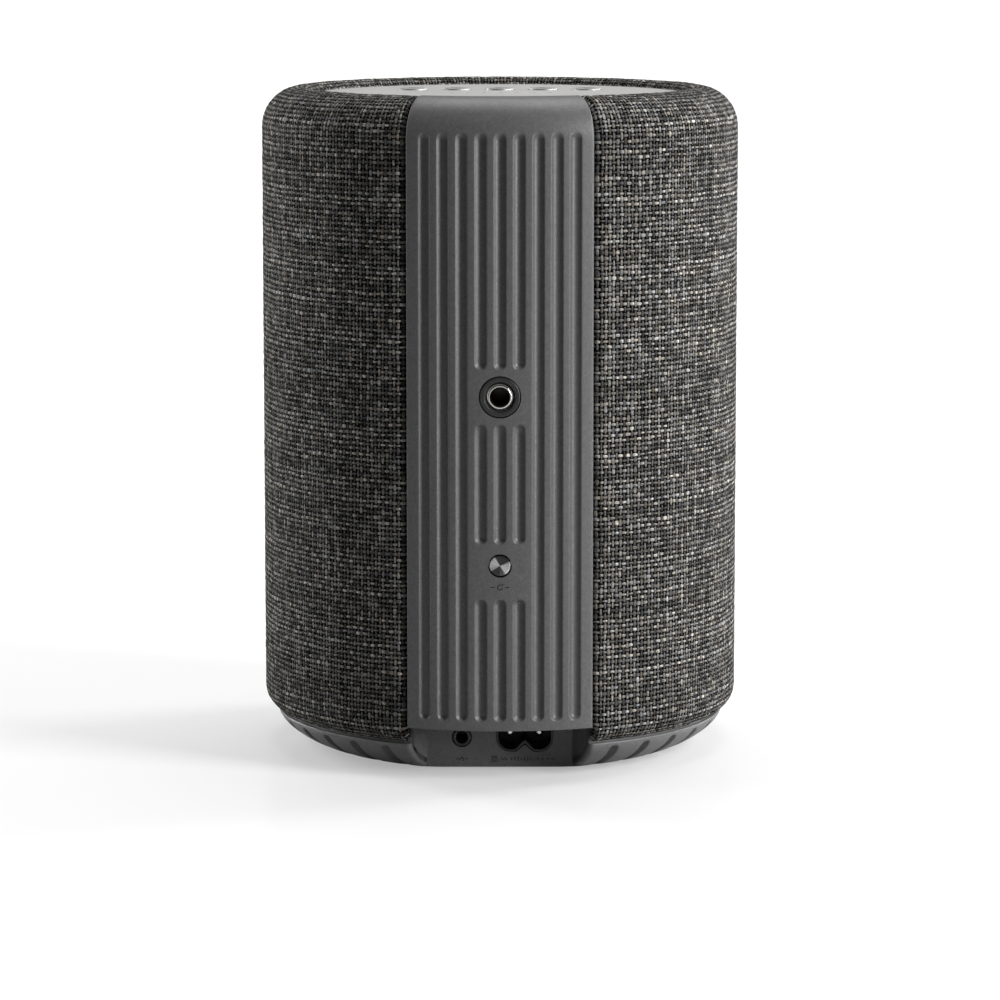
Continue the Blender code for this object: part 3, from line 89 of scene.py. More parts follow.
class Graph:
    """A node tree with short calls for adding nodes and feeding their sockets."""

    def __init__(self, tree: bpy.types.NodeTree) -> None:
        """Wrap a node tree."""
        self.tree = tree

    def feed(self, socket: bpy.types.NodeSocket, value: object) -> None:
        """Link a socket to another, or set it to a constant."""
        if isinstance(value, bpy.types.NodeSocket):
            self.tree.links.new(value, socket)
        else:
            socket.default_value = value

    def node(self, kind: str, inputs: dict | None = None, **settings: object) -> bpy.types.Node:
        """Add a node.

        Args:
            kind: The node's type name.
            inputs: Values or sockets for its inputs, by name or number.
            **settings: The node's own properties.

        Returns:
            The node.
        """
        made = self.tree.nodes.new(kind)
        for name, value in settings.items():
            setattr(made, name, value)
        for name, value in (inputs or {}).items():
            self.feed(made.inputs[name], value)
        return made

    def math(self, operation: str, *values: Value, clamp: bool = False) -> bpy.types.NodeSocket:
        """Add a Math node and return its output."""
        made = self.node("ShaderNodeMath", dict(enumerate(values)), operation=operation)
        made.use_clamp = clamp
        return made.outputs[0]

    def join(self, x: Value, y: Value, z: Value = 0.0) -> bpy.types.NodeSocket:
        """Make a vector of three values."""
        return self.node("ShaderNodeCombineXYZ", {"X": x, "Y": y, "Z": z}).outputs[0]

    def split(self, vector: bpy.types.NodeSocket) -> tuple[bpy.types.NodeSocket, ...]:
        """The three values of a vector."""
        made = self.node("ShaderNodeSeparateXYZ", {"Vector": vector})
        return tuple(made.outputs)

    def noise(self, vector: Value, scale: Value, detail: float = 2.0) -> bpy.types.NodeSocket:
        """Smooth noise from 0 to 1."""
        inputs = {"Vector": vector, "Scale": scale, "Detail": detail}
        return self.node("ShaderNodeTexNoise", inputs).outputs["Fac"]

    def chance(self, x: Value, y: Value) -> bpy.types.NodeSocket:
        """A random value from 0 to 1 for each pair of whole numbers."""
        inputs = {"Vector": self.join(x, y)}
        return self.node("ShaderNodeTexWhiteNoise", inputs, noise_dimensions="2D").outputs["Value"]

    def span(self, value: Value, low: Value, high: Value, to_low: Value = 0.0,
             to_high: Value = 1.0, smooth: bool = False) -> bpy.types.NodeSocket:
        """Map a range of values to another, clamped at both ends.

        Args:
            value: The value to map.
            low: Where the first range starts.
            high: Where it ends.
            to_low: Where the second range starts.
            to_high: Where it ends.
            smooth: Whether the map eases in and out.

        Returns:
            The mapped value.
        """
        made = self.node("ShaderNodeMapRange", {
            "Value": value, "From Min": low, "From Max": high, "To Min": to_low, "To Max": to_high,
        })
        made.interpolation_type = "SMOOTHSTEP" if smooth else "LINEAR"
        return made.outputs["Result"]

    def mix(self, factor: Value, one: object, other: object,
            mode: str = "MIX") -> bpy.types.NodeSocket:
        """Mix two colours.

        Args:
            factor: 0 for the first colour and 1 for the other.
            one: The first colour.
            other: The other colour.
            mode: The way they blend.

        Returns:
            The mixed colour.
        """
        made = self.node("ShaderNodeMix", data_type="RGBA", blend_type=mode)
        for index, value in ((0, factor), (6, one), (7, other)):
            self.feed(made.inputs[index], value)
        return made.outputs[2]

    def ramp(self, value: Value, stops: Sequence[tuple[float, Colour]]) -> bpy.types.NodeSocket:
        """Turn a value into a colour.

        Args:
            value: The value, from 0 to 1.
            stops: Places from 0 to 1 and the colours there.

        Returns:
            The colour.
        """
        made = self.node("ShaderNodeValToRGB", {"Fac": value})
        elements = made.color_ramp.elements
        while len(elements) < len(stops):
            elements.new(0.5)
        for element, (place, colour) in zip(elements, stops):
            element.position = place
            element.color = (*colour, 1)
        return made.outputs["Color"]


def new_group(name: str, inputs: dict[str, object], outputs: Iterable[str]
              ) -> tuple[Graph, dict[str, bpy.types.NodeSocket], bpy.types.Node]:
    """Start a shader node group.

    Args:
        name: The group's name.
        inputs: Each input's default; None makes a vector input.
        outputs: Names of its value outputs.

    Returns:
        The group's graph, its input sockets by name, and its output node.
    """
    tree = bpy.data.node_groups.new(name, "ShaderNodeTree")
    for label, default in inputs.items():
        kind = "NodeSocketVector" if default is None else "NodeSocketFloat"
        made = tree.interface.new_socket(name=label, in_out="INPUT", socket_type=kind)
        if default is not None:
            made.default_value = default
    for label in outputs:
        tree.interface.new_socket(name=label, in_out="OUTPUT", socket_type="NodeSocketFloat")
    graph = Graph(tree)
    entry = graph.node("NodeGroupInput")
    return graph, {socket.name: socket for socket in entry.outputs}, graph.node("NodeGroupOutput")


def grain_group() -> bpy.types.NodeTree:
    """Fine moulded grain: Height for a bump, Tone for colour and Cloud for broad changes."""
    graph, given, end = new_group(
        "moulded_grain", {"Vector": None, "Scale": 3000.0}, ("Height", "Tone", "Cloud"),
    )
    fine = graph.noise(given["Vector"], given["Scale"], 3.0)
    coarse = graph.noise(given["Vector"], graph.math("MULTIPLY", given["Scale"], 0.3), 2.0)
    height = graph.math("MULTIPLY_ADD", coarse, 0.4, fine)
    graph.feed(end.inputs["Height"], height)
    graph.feed(end.inputs["Tone"], graph.span(height, 0.4, 1.0))
    graph.feed(end.inputs["Cloud"], graph.span(graph.noise(given["Vector"], 45.0, 4.0), 0.3, 0.7))
    return graph.tree


def spun_group() -> bpy.types.NodeTree:
    """Turning marks on a disc whose UV holds the turn and the radius, and painted wedge shade by turn."""
    graph, given, end = new_group("spun_rings", {"Vector": None, "Lines": 9000.0}, ("Streak", "Wedge Shade"))
    turn, radius, _ = graph.split(given["Vector"])
    lines = graph.noise(graph.join(0.0, graph.math("MULTIPLY", radius, given["Lines"])), 1.0, 3.0)
    angle = graph.math("MULTIPLY", turn, math.tau)
    ring = graph.join(graph.math("COSINE", angle), graph.math("SINE", angle))
    graph.feed(end.inputs["Streak"], lines)
    # Painted shade: dark wedges in two opposite sectors by turn, with a slow wobble, where the drawn-out
    # reflection falls off.
    across = graph.math("SINE", graph.math("MULTIPLY_ADD", turn, math.tau, 0.35))
    sides = graph.math("MULTIPLY", across, across)
    uneven = graph.span(graph.noise(ring, 2.6, 3.0), 0.3, 0.7, 0, 0.4)
    graph.feed(end.inputs["Wedge Shade"], graph.math("MULTIPLY_ADD", sides, 0.6, uneven))
    return graph.tree


def weave_group() -> bpy.types.NodeTree:
    """A plain weave of uneven yarns, from a UV in metres.

    Its outputs are the Height of the yarns, the Tone of each stretch of yarn, the Tint from cool
    to warm, and Cover Shade, which is 0 in the gaps and 1 on top of a yarn: painted shade in the gaps and
    where a yarn dips.
    """
    graph, given, end = new_group("plain_weave", {
        "Vector": None, "Warp Pitch": 0.00125, "Weft Pitch": 0.0015, "Warp Width": 0.285,
        "Weft Width": 0.245, "Wander": 0.8,
    }, ("Height", "Tone", "Tint", "Cover Shade"))
    across, along, _ = graph.split(given["Vector"])
    u = graph.math("DIVIDE", across, given["Warp Pitch"])
    v = graph.math("DIVIDE", along, given["Weft Pitch"])

    def wander(x_scale: float, y_scale: float, shift: float) -> bpy.types.NodeSocket:
        """A slow sideways drift of the yarns."""
        place = graph.join(
            graph.math("MULTIPLY_ADD", u, x_scale, shift), graph.math("MULTIPLY", v, y_scale),
        )
        drift = graph.math("SUBTRACT", graph.noise(place, 1.0, 2.0), 0.5)
        return graph.math("MULTIPLY", drift, given["Wander"])

    u = graph.math("ADD", u, wander(0.55, 0.16, 0.0))
    v = graph.math("ADD", v, wander(0.13, 0.5, 31.0))
    column, row = graph.math("FLOOR", u), graph.math("FLOOR", v)
    beside = graph.math("SUBTRACT", graph.math("FRACT", u), 0.5)
    above = graph.math("SUBTRACT", graph.math("FRACT", v), 0.5)
    parity = graph.math("FLOORED_MODULO", graph.math("ADD", column, row), 2.0)
    sign = graph.math("MULTIPLY_ADD", parity, -2.0, 1.0)

    def yarn(offset: Value, run: Value, up: Value, width: Value, index: Value, length: Value,
             salt: float) -> tuple[bpy.types.NodeSocket, bpy.types.NodeSocket]:
        """The height and the tone of one set of yarns.

        Args:
            offset: Distance from the yarn's middle line.
            run: Distance along the yarn within a cell.
            up: 1 where this yarn is on top and -1 where it is below.
            width: Half the yarn's usual width.
            index: The yarn's number.
            length: The place along the yarn.
            salt: A number that sets this set of yarns apart.

        Returns:
            The height and the tone.
        """
        slub = graph.noise(graph.join(
            graph.math("MULTIPLY", index, 7.31), graph.math("MULTIPLY", length, 0.23), salt,
        ), 1.0, 2.0)
        half = graph.math("MULTIPLY", width, graph.span(slub, 0.28, 0.72, 0.68, 1.38))
        ratio = graph.math("DIVIDE", offset, half)
        round_top = graph.math("SUBTRACT", 1.0, graph.math("MULTIPLY", ratio, ratio))
        dome = graph.math("SQRT", graph.math("MAXIMUM", round_top, 0.0))
        wave = graph.math("MULTIPLY", up, graph.math("COSINE", graph.math("MULTIPLY", run, math.pi)))
        outside = graph.math("LESS_THAN", round_top, 0.0)
        height = graph.math("MULTIPLY_ADD", dome, 0.45, graph.math("MULTIPLY", wave, 0.5))
        height = graph.math("SUBTRACT", height, graph.math("MULTIPLY", outside, 3.0))
        fibres = graph.noise(graph.join(
            graph.math("MULTIPLY_ADD", offset, 9.0, graph.math("MULTIPLY", index, 3.7)),
            graph.math("MULTIPLY", length, 1.7), salt,
        ), 1.0, 2.0)
        own = graph.chance(index, salt + 0.5)
        stretch = graph.math("FLOOR", graph.math("MULTIPLY", length, 0.5))
        piece = graph.chance(graph.math("MULTIPLY_ADD", index, 5.0, salt), stretch)
        tone = graph.math("MULTIPLY_ADD", own, 0.26, graph.math("MULTIPLY", piece, 0.34))
        tone = graph.math("ADD", tone, graph.span(fibres, 0.3, 0.7, -0.12, 0.32))
        tone = graph.math("ADD", tone, graph.span(slub, 0.3, 0.7, -0.06, 0.1))
        return height, tone

    down = graph.math("MULTIPLY", sign, -1.0)
    warp, warp_tone = yarn(beside, above, sign, given["Warp Width"], column, v, 11.0)
    weft, weft_tone = yarn(above, beside, down, given["Weft Width"], row, u, 47.0)
    over = graph.math("GREATER_THAN", weft, warp)
    top = graph.math("MAXIMUM", graph.math("MAXIMUM", warp, weft), -0.65)
    swap = graph.node("ShaderNodeMix", data_type="FLOAT")
    lift = graph.math("ADD", weft_tone, 0.1)
    for index, value in ((0, over), (2, warp_tone), (3, lift)):
        graph.feed(swap.inputs[index], value)
    graph.feed(end.inputs["Height"], top)
    graph.feed(end.inputs["Tone"], swap.outputs[0])
    graph.feed(end.inputs["Tint"], graph.chance(column, graph.math("ADD", row, 0.5)))
    # Painted shade: 0 in the gaps and lower where a yarn dips under its neighbour, from the height.
    graph.feed(end.inputs["Cover Shade"], graph.span(top, -0.05, 0.72, smooth=True))
    return graph.tree


class Group(Enum):
    """Shader node groups that several finishes share."""

    GRAIN = "moulded_grain"
    SPUN = "spun_rings"
    WEAVE = "plain_weave"

    def tree(self) -> bpy.types.NodeTree:
        """The group's tree, made when it is first used."""
        found = bpy.data.node_groups.get(self.value)
        makers = {"moulded_grain": grain_group, "spun_rings": spun_group, "plain_weave": weave_group}
        return found or makers[self.value]()

    def use(self, graph: Graph, **inputs: object) -> bpy.types.Node:
        """Place the group in a material, with its inputs named by words joined with _."""
        named = {key.replace("_", " "): value for key, value in inputs.items()}
        node = graph.node("ShaderNodeGroup", node_tree=self.tree())
        for label, value in named.items():
            graph.feed(node.inputs[label], value)
        return node


# ---- Finishes ----

@dataclass(frozen=True)
class Finish:
    """What every finish has: a name and the way its material is made once."""

    name: str

    def material(self) -> bpy.types.Material:
        """The finish's material, made when it is first used."""
        found = bpy.data.materials.get(self.name)
        if found:
            return found
        made = bpy.data.materials.new(self.name)
        made.use_nodes = True
        graph = Graph(made.node_tree)
        self.paint(graph, made.node_tree.nodes["Principled BSDF"])
        return made

    def paint(self, graph: Graph, shader: bpy.types.Node) -> None:
        """Connect the shader's sockets."""
        raise NotImplementedError

    @staticmethod
    def place(graph: Graph) -> bpy.types.NodeSocket:
        """Object coordinates."""
        return graph.node("ShaderNodeTexCoord").outputs["Object"]

    @staticmethod
    def bump(graph: Graph, shader: bpy.types.Node, height: Value, distance: float,
             strength: float = 1.0) -> None:
        """Feed the shader's normal with a bump.

        Args:
            graph: The material's graph.
            shader: Its shader.
            height: The relief, usually from 0 to 1.
            distance: How far the relief stands out at 1, in metres.
            strength: The share of the bump that is used.
        """
        made = graph.node("ShaderNodeBump", {"Height": height, "Distance": distance, "Strength": strength})
        graph.feed(shader.inputs["Normal"], made.outputs["Normal"])


@dataclass(frozen=True)
class Moulded(Finish):
    """A moulded or painted surface with a fine grain and slow changes of tone."""

    colour: Colour
    roughness: float
    metallic: float = 0.0
    scale: float = 3000.0
    relief: float = 0.00003
    contrast: float = 0.14
    specular: float = 0.5

    def paint(self, graph: Graph, shader: bpy.types.Node) -> None:
        """Grain in the bump, the tone and the roughness."""
        grain = Group.GRAIN.use(graph, Vector=self.place(graph), Scale=self.scale)
        dark = tuple(channel * (1 - self.contrast) for channel in self.colour)
        light = tuple(min(1.0, channel * (1 + self.contrast)) for channel in self.colour)
        base = graph.mix(grain.outputs["Tone"], (*dark, 1), (*light, 1))
        cloud = graph.span(grain.outputs["Cloud"], 0.0, 1.0, 0.0, 0.12)
        graph.feed(shader.inputs["Base Color"], graph.mix(cloud, base, (*dark, 1)))
        rough = graph.span(grain.outputs["Cloud"], 0, 1, self.roughness - 0.04, self.roughness + 0.05)
        graph.feed(shader.inputs["Roughness"], rough)
        shader.inputs["Metallic"].default_value = self.metallic
        shader.inputs["Specular IOR Level"].default_value = self.specular
        self.bump(graph, shader, grain.outputs["Height"], self.relief)


@dataclass(frozen=True)
class Woven(Finish):
    """Cloth in a plain weave of melange yarns, mapped by the piece's own UV in metres."""

    shades: tuple[tuple[float, Colour], ...]
    warp: float = 0.00125
    weft: float = 0.0015
    relief: float = 0.00045

    def paint(self, graph: Graph, shader: bpy.types.Node) -> None:
        """Yarn tones, painted shade in the gaps between the yarns and where they dip, and their relief."""
        where = graph.node("ShaderNodeUVMap", uv_map="cloth").outputs["UV"]
        weave = Group.WEAVE.use(graph, Vector=where, Warp_Pitch=self.warp, Weft_Pitch=self.weft)
        shade = graph.ramp(weave.outputs["Tone"], self.shades)
        tint = graph.mix(weave.outputs["Tint"], (0.93, 0.98, 1.05, 1), (1.06, 1.0, 0.91, 1))
        shade = graph.mix(1.0, shade, tint, "MULTIPLY")
        cover = weave.outputs["Cover Shade"]
        # Painted shade: near-black in the gaps and darker where a yarn dips under its neighbour.
        shade = graph.mix(cover, (0.002, 0.002, 0.002, 1), shade)
        graph.feed(shader.inputs["Base Color"], shade)
        rough = graph.span(weave.outputs["Tone"], 0, 1, 0.96, 0.8)
        graph.feed(shader.inputs["Roughness"], rough)
        graph.feed(shader.inputs["Specular IOR Level"], graph.math("MULTIPLY", cover, 0.2))
        self.bump(graph, shader, weave.outputs["Height"], self.relief)


@dataclass(frozen=True)
class Spun(Finish):
    """Metal faced on a lathe, with the light drawn out along its turning marks."""

    colour: Colour
    roughness: float = 0.3
    drawn: float = 0.6
    # How far the painted wedge shade darkens the colour, from 0 to 1.
    painted_shade: float = 0.3

    def paint(self, graph: Graph, shader: bpy.types.Node) -> None:
        """Streaks by radius, and painted wedge shade by turn."""
        where = graph.node("ShaderNodeUVMap", uv_map="turn").outputs["UV"]
        marks = Group.SPUN.use(graph, Vector=where)
        dark = tuple(channel * 0.72 for channel in self.colour)
        base = graph.mix(graph.span(marks.outputs["Streak"], 0.3, 0.7), (*dark, 1), (*self.colour, 1))
        # Painted shade: the wedge sectors darken the base colour towards near-black.
        wedge_shade_colour = tuple(channel * 0.06 for channel in self.colour)
        wedge = graph.span(marks.outputs["Wedge Shade"], 0.3, 0.62)
        base = graph.mix(graph.math("MULTIPLY", wedge, self.painted_shade), base, (*wedge_shade_colour, 1))
        graph.feed(shader.inputs["Base Color"], base)
        graph.feed(shader.inputs["Roughness"],
                   graph.span(marks.outputs["Streak"], 0.3, 0.7, self.roughness, self.roughness + 0.14))
        shader.inputs["Metallic"].default_value = 1.0
        shader.inputs["Anisotropic"].default_value = self.drawn
        tangent = graph.node("ShaderNodeTangent", direction_type="UV_MAP", uv_map="turn")
        graph.feed(shader.inputs["Tangent"], tangent.outputs["Tangent"])
        self.bump(graph, shader, marks.outputs["Streak"], 0.000004, 0.6)


@dataclass(frozen=True)
class Board(Finish):
    """A printed circuit board: solder mask, fine tracks and pads."""

    colour: Colour
    copper: Colour = (0.05, 0.2, 0.08)

    def paint(self, graph: Graph, shader: bpy.types.Node) -> None:
        """Tracks as a lighter maze in the mask, over its glass weave."""
        place = self.place(graph)
        cells = graph.node("ShaderNodeTexVoronoi", {"Vector": place, "Scale": 320.0},
                           distance="CHEBYCHEV", feature="F1")
        track = graph.span(cells.outputs["Distance"], 0.28, 0.34)
        graph.feed(shader.inputs["Base Color"], graph.mix(track, (*self.copper, 1), (*self.colour, 1)))
        grain = Group.GRAIN.use(graph, Vector=place, Scale=1500.0)
        graph.feed(shader.inputs["Roughness"], graph.span(grain.outputs["Tone"], 0, 1, 0.3, 0.5))
        self.bump(graph, shader, track, 0.00003)


@dataclass(frozen=True)
class Laminated(Finish):
    """Stacked steel sheets, as in a transformer's core, or fibres pressed in layers."""

    colour: Colour
    pitch: float
    metallic: float
    roughness: float

    def paint(self, graph: Graph, shader: bpy.types.Node) -> None:
        """Thin bands along Y in tone and relief."""
        place = self.place(graph)
        bands = graph.node("ShaderNodeTexWave", {
            "Vector": place, "Scale": 1 / (self.pitch * 20), "Distortion": 0.4, "Detail": 2.0,
        }, bands_direction="Y").outputs["Fac"]
        dark = tuple(channel * 0.55 for channel in self.colour)
        graph.feed(shader.inputs["Base Color"], graph.mix(bands, (*dark, 1), (*self.colour, 1)))
        grain = Group.GRAIN.use(graph, Vector=place, Scale=2200.0)
        rough = graph.span(grain.outputs["Cloud"], 0, 1, self.roughness, self.roughness + 0.15)
        graph.feed(shader.inputs["Roughness"], rough)
        shader.inputs["Metallic"].default_value = self.metallic
        self.bump(graph, shader, bands, 0.00008)


MELANGE = (
    (0.0, (0.010, 0.010, 0.010)), (0.25, (0.042, 0.041, 0.039)), (0.5, (0.145, 0.141, 0.133)),
    (0.75, (0.38, 0.366, 0.345)), (1.0, (0.82, 0.80, 0.75)),
)

COVER_CLOTH = Woven("melange_cover_cloth", MELANGE)
SPINE_PLASTIC = Moulded("spine_satin_plastic", (0.105, 0.105, 0.107), 0.42, 0.0, 2000.0, 0.00004, 0.3)
BASE_PLASTIC = Moulded("base_satin_plastic", (0.15, 0.15, 0.152), 0.42, 0.0, 2000.0, 0.00004, 0.3)
PLATE_LACQUER = Moulded("plate_grey_lacquer", (0.45, 0.446, 0.438), 0.4, 0.0, 2400.0, 0.00001, 0.05)
BLACK_PLASTIC = Moulded("black_moulding", (0.012, 0.012, 0.013), 0.35)
BEZEL_PLASTIC = Moulded("bezel_moulding", (0.02, 0.02, 0.021), 0.34)
CABINET_PLASTIC = Moulded("cabinet_moulding", (0.03, 0.03, 0.032), 0.6, 0.0, 1200.0, 0.00008)
RUBBER = Moulded("foot_rubber", (0.018, 0.018, 0.018), 0.82, 0.0, 1800.0, 0.00006, 0.2, 0.3)
PRINT_INK = Moulded("printed_ink", (0.01, 0.01, 0.011), 0.6, 0.0, 4000.0, 0.00001)
CHROME = Moulded("bright_nickel", (0.80, 0.78, 0.74), 0.12, 1.0, 1500.0, 0.000004, 0.05)
ZINC_STEEL = Moulded("zinc_steel", (0.55, 0.55, 0.54), 0.34, 1.0, 700.0, 0.00002, 0.2)
FERRITE = Moulded("sintered_ferrite", (0.035, 0.035, 0.038), 0.6, 0.0, 1500.0, 0.0001, 0.3)
PULP = Moulded("pressed_pulp", (0.03, 0.03, 0.03), 0.85, 0.0, 900.0, 0.00012, 0.35, 0.3)
LIGHT_PLASTIC = Moulded("frosted_light_guide", (0.8, 0.8, 0.78), 0.35, 0.0, 2600.0, 0.00001, 0.05)
ALUMINIUM = Moulded("extruded_aluminium", (0.5, 0.5, 0.52), 0.36, 1.0, 900.0, 0.00002, 0.15)
# The last number of each is the strength of the painted wedge shade; the reset key's is near full.
SPUN_METAL = Spun("spun_key_metal", (0.42, 0.42, 0.415), 0.42, 0.4, 0.25)
SPUN_RESET_WEDGE_SHADE = Spun("spun_reset_metal", (0.66, 0.66, 0.66), 0.26, 0.7, 0.97)
# Near-black metal for the bush's bore: painted shade inside the hole.
BORE_SHADE_METAL = Moulded("bore_painted_shade", (0.05, 0.042, 0.035), 0.3, 0.9, 1500.0, 0.00001, 0.2)
CIRCUIT_BOARD = Board("solder_mask", (0.012, 0.075, 0.03))
CORE_STEEL = Laminated("stacked_core", (0.09, 0.085, 0.08), 0.0007, 0.4, 0.45)
SPIDER_CLOTH = Laminated("treated_spider_cloth", (0.30, 0.22, 0.10), 0.0006, 0.0, 0.8)
DOME_SILK = Laminated("coated_dome_silk", (0.05, 0.05, 0.055), 0.0003, 0.0, 0.55)


# ---- Shapes ----

def arc(centre: Point, radii: Point, start: float, end: float, steps: int) -> list[Point]:
    """Points on an elliptical arc, ends included, with its angles in degrees."""
    angles = [math.radians(start + (end - start) * step / steps) for step in range(steps + 1)]
    return [(centre[0] + radii[0] * math.cos(a), centre[1] + radii[1] * math.sin(a)) for a in angles]


def bezier(controls: Sequence[Point], steps: int) -> list[Point]:
    """Points on a cubic Bezier curve, ends included."""
    points = []
    for t in (step / steps for step in range(steps + 1)):
        weights = ((1 - t)**3, 3 * t * (1 - t)**2, 3 * t**2 * (1 - t), t**3)
        points.append(tuple(sum(w * c[k] for w, c in zip(weights, controls)) for k in range(2)))
    return points


def spaced(points: Sequence[Point], step: Callable[[Point], float]) -> list[Point]:
    """Set points along a line of straight runs, with a spacing that depends on the place.

    Args:
        points: The line's corners as (radius, height).
        step: The spacing wanted at a point.

    Returns:
        The line with its corners kept and points added between them.
    """
    out = [points[0]]
    for start, end in zip(points, points[1:]):
        length = math.dist(start, end)
        done = step(start) * 0.999
        while done < length - 0.3 * step(end):
            share = done / length
            out.append(tuple(a + (b - a) * share for a, b in zip(start, end)))
            done += step(out[-1])
        out.append(end)
    return out


def lengths_along(line: Sequence[Point]) -> list[float]:
    """The length of a line up to each of its points."""
    lengths = [0.0]
    for one, other in zip(line, line[1:]):
        lengths.append(lengths[-1] + math.dist(one, other))
    return lengths


def rear_angle(spot: Vector) -> float:
    """A point's turn about Z from the rear, in degrees from -180 to 180."""
    return math.degrees(math.remainder(math.atan2(spot.y, spot.x) + math.pi / 2, math.tau))


def ease(distance: float, radius: float) -> float:
    """How far a rounded edge of that radius falls at a distance from its side."""
    inside = min(max(distance, 0.0), radius)
    return radius - math.sqrt(max(radius**2 - (radius - inside)**2, 0.0))


def soft_groove(distance: float, half: float, depth: float, lip: float) -> float:
    """Depth of a round-bottomed groove with soft lips.

    Args:
        distance: Distance from the groove's middle line.
        half: Half the groove's width.
        depth: Its greatest depth.
        lip: How soft its lips are.

    Returns:
        The depth there, which runs out past the lips.
    """
    slope = 2.2 * depth / half
    if distance < half:
        level = depth * (1 - (distance / half)**2.2)
    else:
        level = slope * (half - distance)
    return 0.5 * (level + math.sqrt(level**2 + lip**2))


def spin_outline(outline: Sequence[Point], steps: int, start: float = 0.0, turn: float = 360.0,
                 closed: bool = True) -> bmesh.types.BMesh:
    """Turn an outline of (radius, height) points about Z.

    Args:
        outline: The points.
        steps: How many steps the turn has.
        start: Angle of the first section, in degrees.
        turn: How far it turns, in degrees.
        closed: Whether the outline's end joins its start.

    Returns:
        The turned shape, with no caps.
    """
    shape = bmesh.new()
    first = math.radians(start)
    points = [shape.verts.new((r * math.cos(first), r * math.sin(first), z)) for r, z in outline]
    pairs = list(zip(points, points[1:])) + ([(points[-1], points[0])] if closed else [])
    sides = [shape.edges.new(pair) for pair in pairs]
    full = abs(turn - 360.0) < 1e-6
    made = bmesh.ops.spin(shape, geom=points + sides, axis=UP, cent=(0, 0, 0),
                          angle=math.radians(turn), steps=steps, use_merge=full)
    if closed and not full:
        shape.faces.new(points)
        last = [item for item in made["geom_last"] if isinstance(item, bmesh.types.BMEdge)]
        bmesh.ops.edgeloop_fill(shape, edges=last)
    return shape


def outline_rows(shape: bmesh.types.BMesh, outline: Sequence[Point]) -> list[int]:
    """The nearest outline point of each corner of a turned shape, in the corners' order."""
    tree = KDTree(len(outline))
    for row, (radius, height) in enumerate(outline):
        tree.insert((radius, height, 0), row)
    tree.balance()
    return [tree.find((vert.co.xy.length, vert.co.z, 0))[1] for vert in shape.verts]


def tidy_shape(shape: bmesh.types.BMesh) -> bmesh.types.BMesh:
    """Merge doubles, drop loose edges and point the faces outwards."""
    bmesh.ops.remove_doubles(shape, verts=shape.verts, dist=1e-7)
    loose = [edge for edge in shape.edges if edge.is_wire]
    bmesh.ops.delete(shape, geom=loose, context="EDGES")
    bmesh.ops.recalc_face_normals(shape, faces=shape.faces)
    return shape


def stand(shape: bmesh.types.BMesh, place: Sequence[float], axis: Vector = UP) -> bmesh.types.BMesh:
    """Move a shape modelled about its own Z to a place and an axis."""
    matrix = Matrix.Translation(place) @ UP.rotation_difference(axis).to_matrix().to_4x4()
    bmesh.ops.transform(shape, matrix=matrix, verts=shape.verts)
    return shape


def lathe(outline: Sequence[Point], steps: int, place: Sequence[float] = (0, 0, 0),
          axis: Vector = UP) -> bmesh.types.BMesh:
    """A closed full turn of an outline, stood at a place on an axis.

    Args:
        outline: The (radius, height) points.
        steps: How many steps the turn has.
        place: Where the outline's origin goes.
        axis: The direction that the outline's height takes.

    Returns:
        The shape, with a UV of its turn and radius.
    """
    shape = tidy_shape(spin_outline(outline, steps))
    mark_turn(shape)
    return stand(shape, place, axis)


def mark_turn(shape: bmesh.types.BMesh) -> None:
    """Give a turned shape a UV of its turn and radius, before it is moved off Z."""
    layer = shape.loops.layers.uv.new("turn")
    for face in shape.faces:
        middle = face.calc_center_median()
        base = math.atan2(middle.y, middle.x)
        for loop in face.loops:
            spot = loop.vert.co
            angle = math.atan2(spot.y, spot.x) if spot.xy.length > 1e-6 else base
            angle = base + math.remainder(angle - base, math.tau)
            loop[layer].uv = (angle / math.tau, spot.xy.length)


def block(low: Sequence[float], high: Sequence[float], edge: float = 0.0) -> bmesh.types.BMesh:
    """A box between two corners.

    Args:
        low: The corner with the lowest coordinates.
        high: The corner with the highest.
        edge: Radius of its edges; 0 leaves them sharp.

    Returns:
        The box.
    """
    shape = bmesh.new()
    bmesh.ops.create_cube(shape, size=1)
    size = [b - a for a, b in zip(low, high)]
    bmesh.ops.scale(shape, vec=size, verts=shape.verts)
    bmesh.ops.translate(shape, vec=[(a + b) / 2 for a, b in zip(low, high)], verts=shape.verts)
    if edge:
        bmesh.ops.bevel(shape, geom=shape.edges[:], offset=edge, offset_type="OFFSET",
                        affect="EDGES", segments=3, profile=0.5, material=-1)
    return shape


def slab(outline: Sequence[Point], low: float, high: float, place: Sequence[float] = (0, 0, 0),
         axis: Vector = UP) -> bmesh.types.BMesh:
    """An outline raised into a solid.

    Args:
        outline: The (x, y) points.
        low: Where the solid starts along its axis.
        high: Where it ends.
        place: Where the outline's origin goes.
        axis: The direction that it is raised in.

    Returns:
        The solid.
    """
    shape = bmesh.new()
    floor = shape.faces.new([shape.verts.new((x, y, low)) for x, y in outline])
    raised = bmesh.ops.extrude_face_region(shape, geom=[floor])["geom"]
    moved = [item for item in raised if isinstance(item, bmesh.types.BMVert)]
    bmesh.ops.translate(shape, verts=moved, vec=(0, 0, high - low))
    return stand(tidy_shape(shape), place, axis)


def rod(radius: float, low: float, high: float, place: Sequence[float] = (0, 0, 0),
        axis: Vector = UP, steps: int = 48) -> bmesh.types.BMesh:
    """A plain cylinder for cutting.

    Args:
        radius: Its radius.
        low: Where it starts along its axis.
        high: Where it ends.
        place: Where its origin goes.
        axis: The direction that it runs in.
        steps: How many sides it has.

    Returns:
        The cylinder.
    """
    outline = [(0, low), (radius, low), (radius, high), (0, high)]
    return stand(tidy_shape(spin_outline(outline, steps)), place, axis)


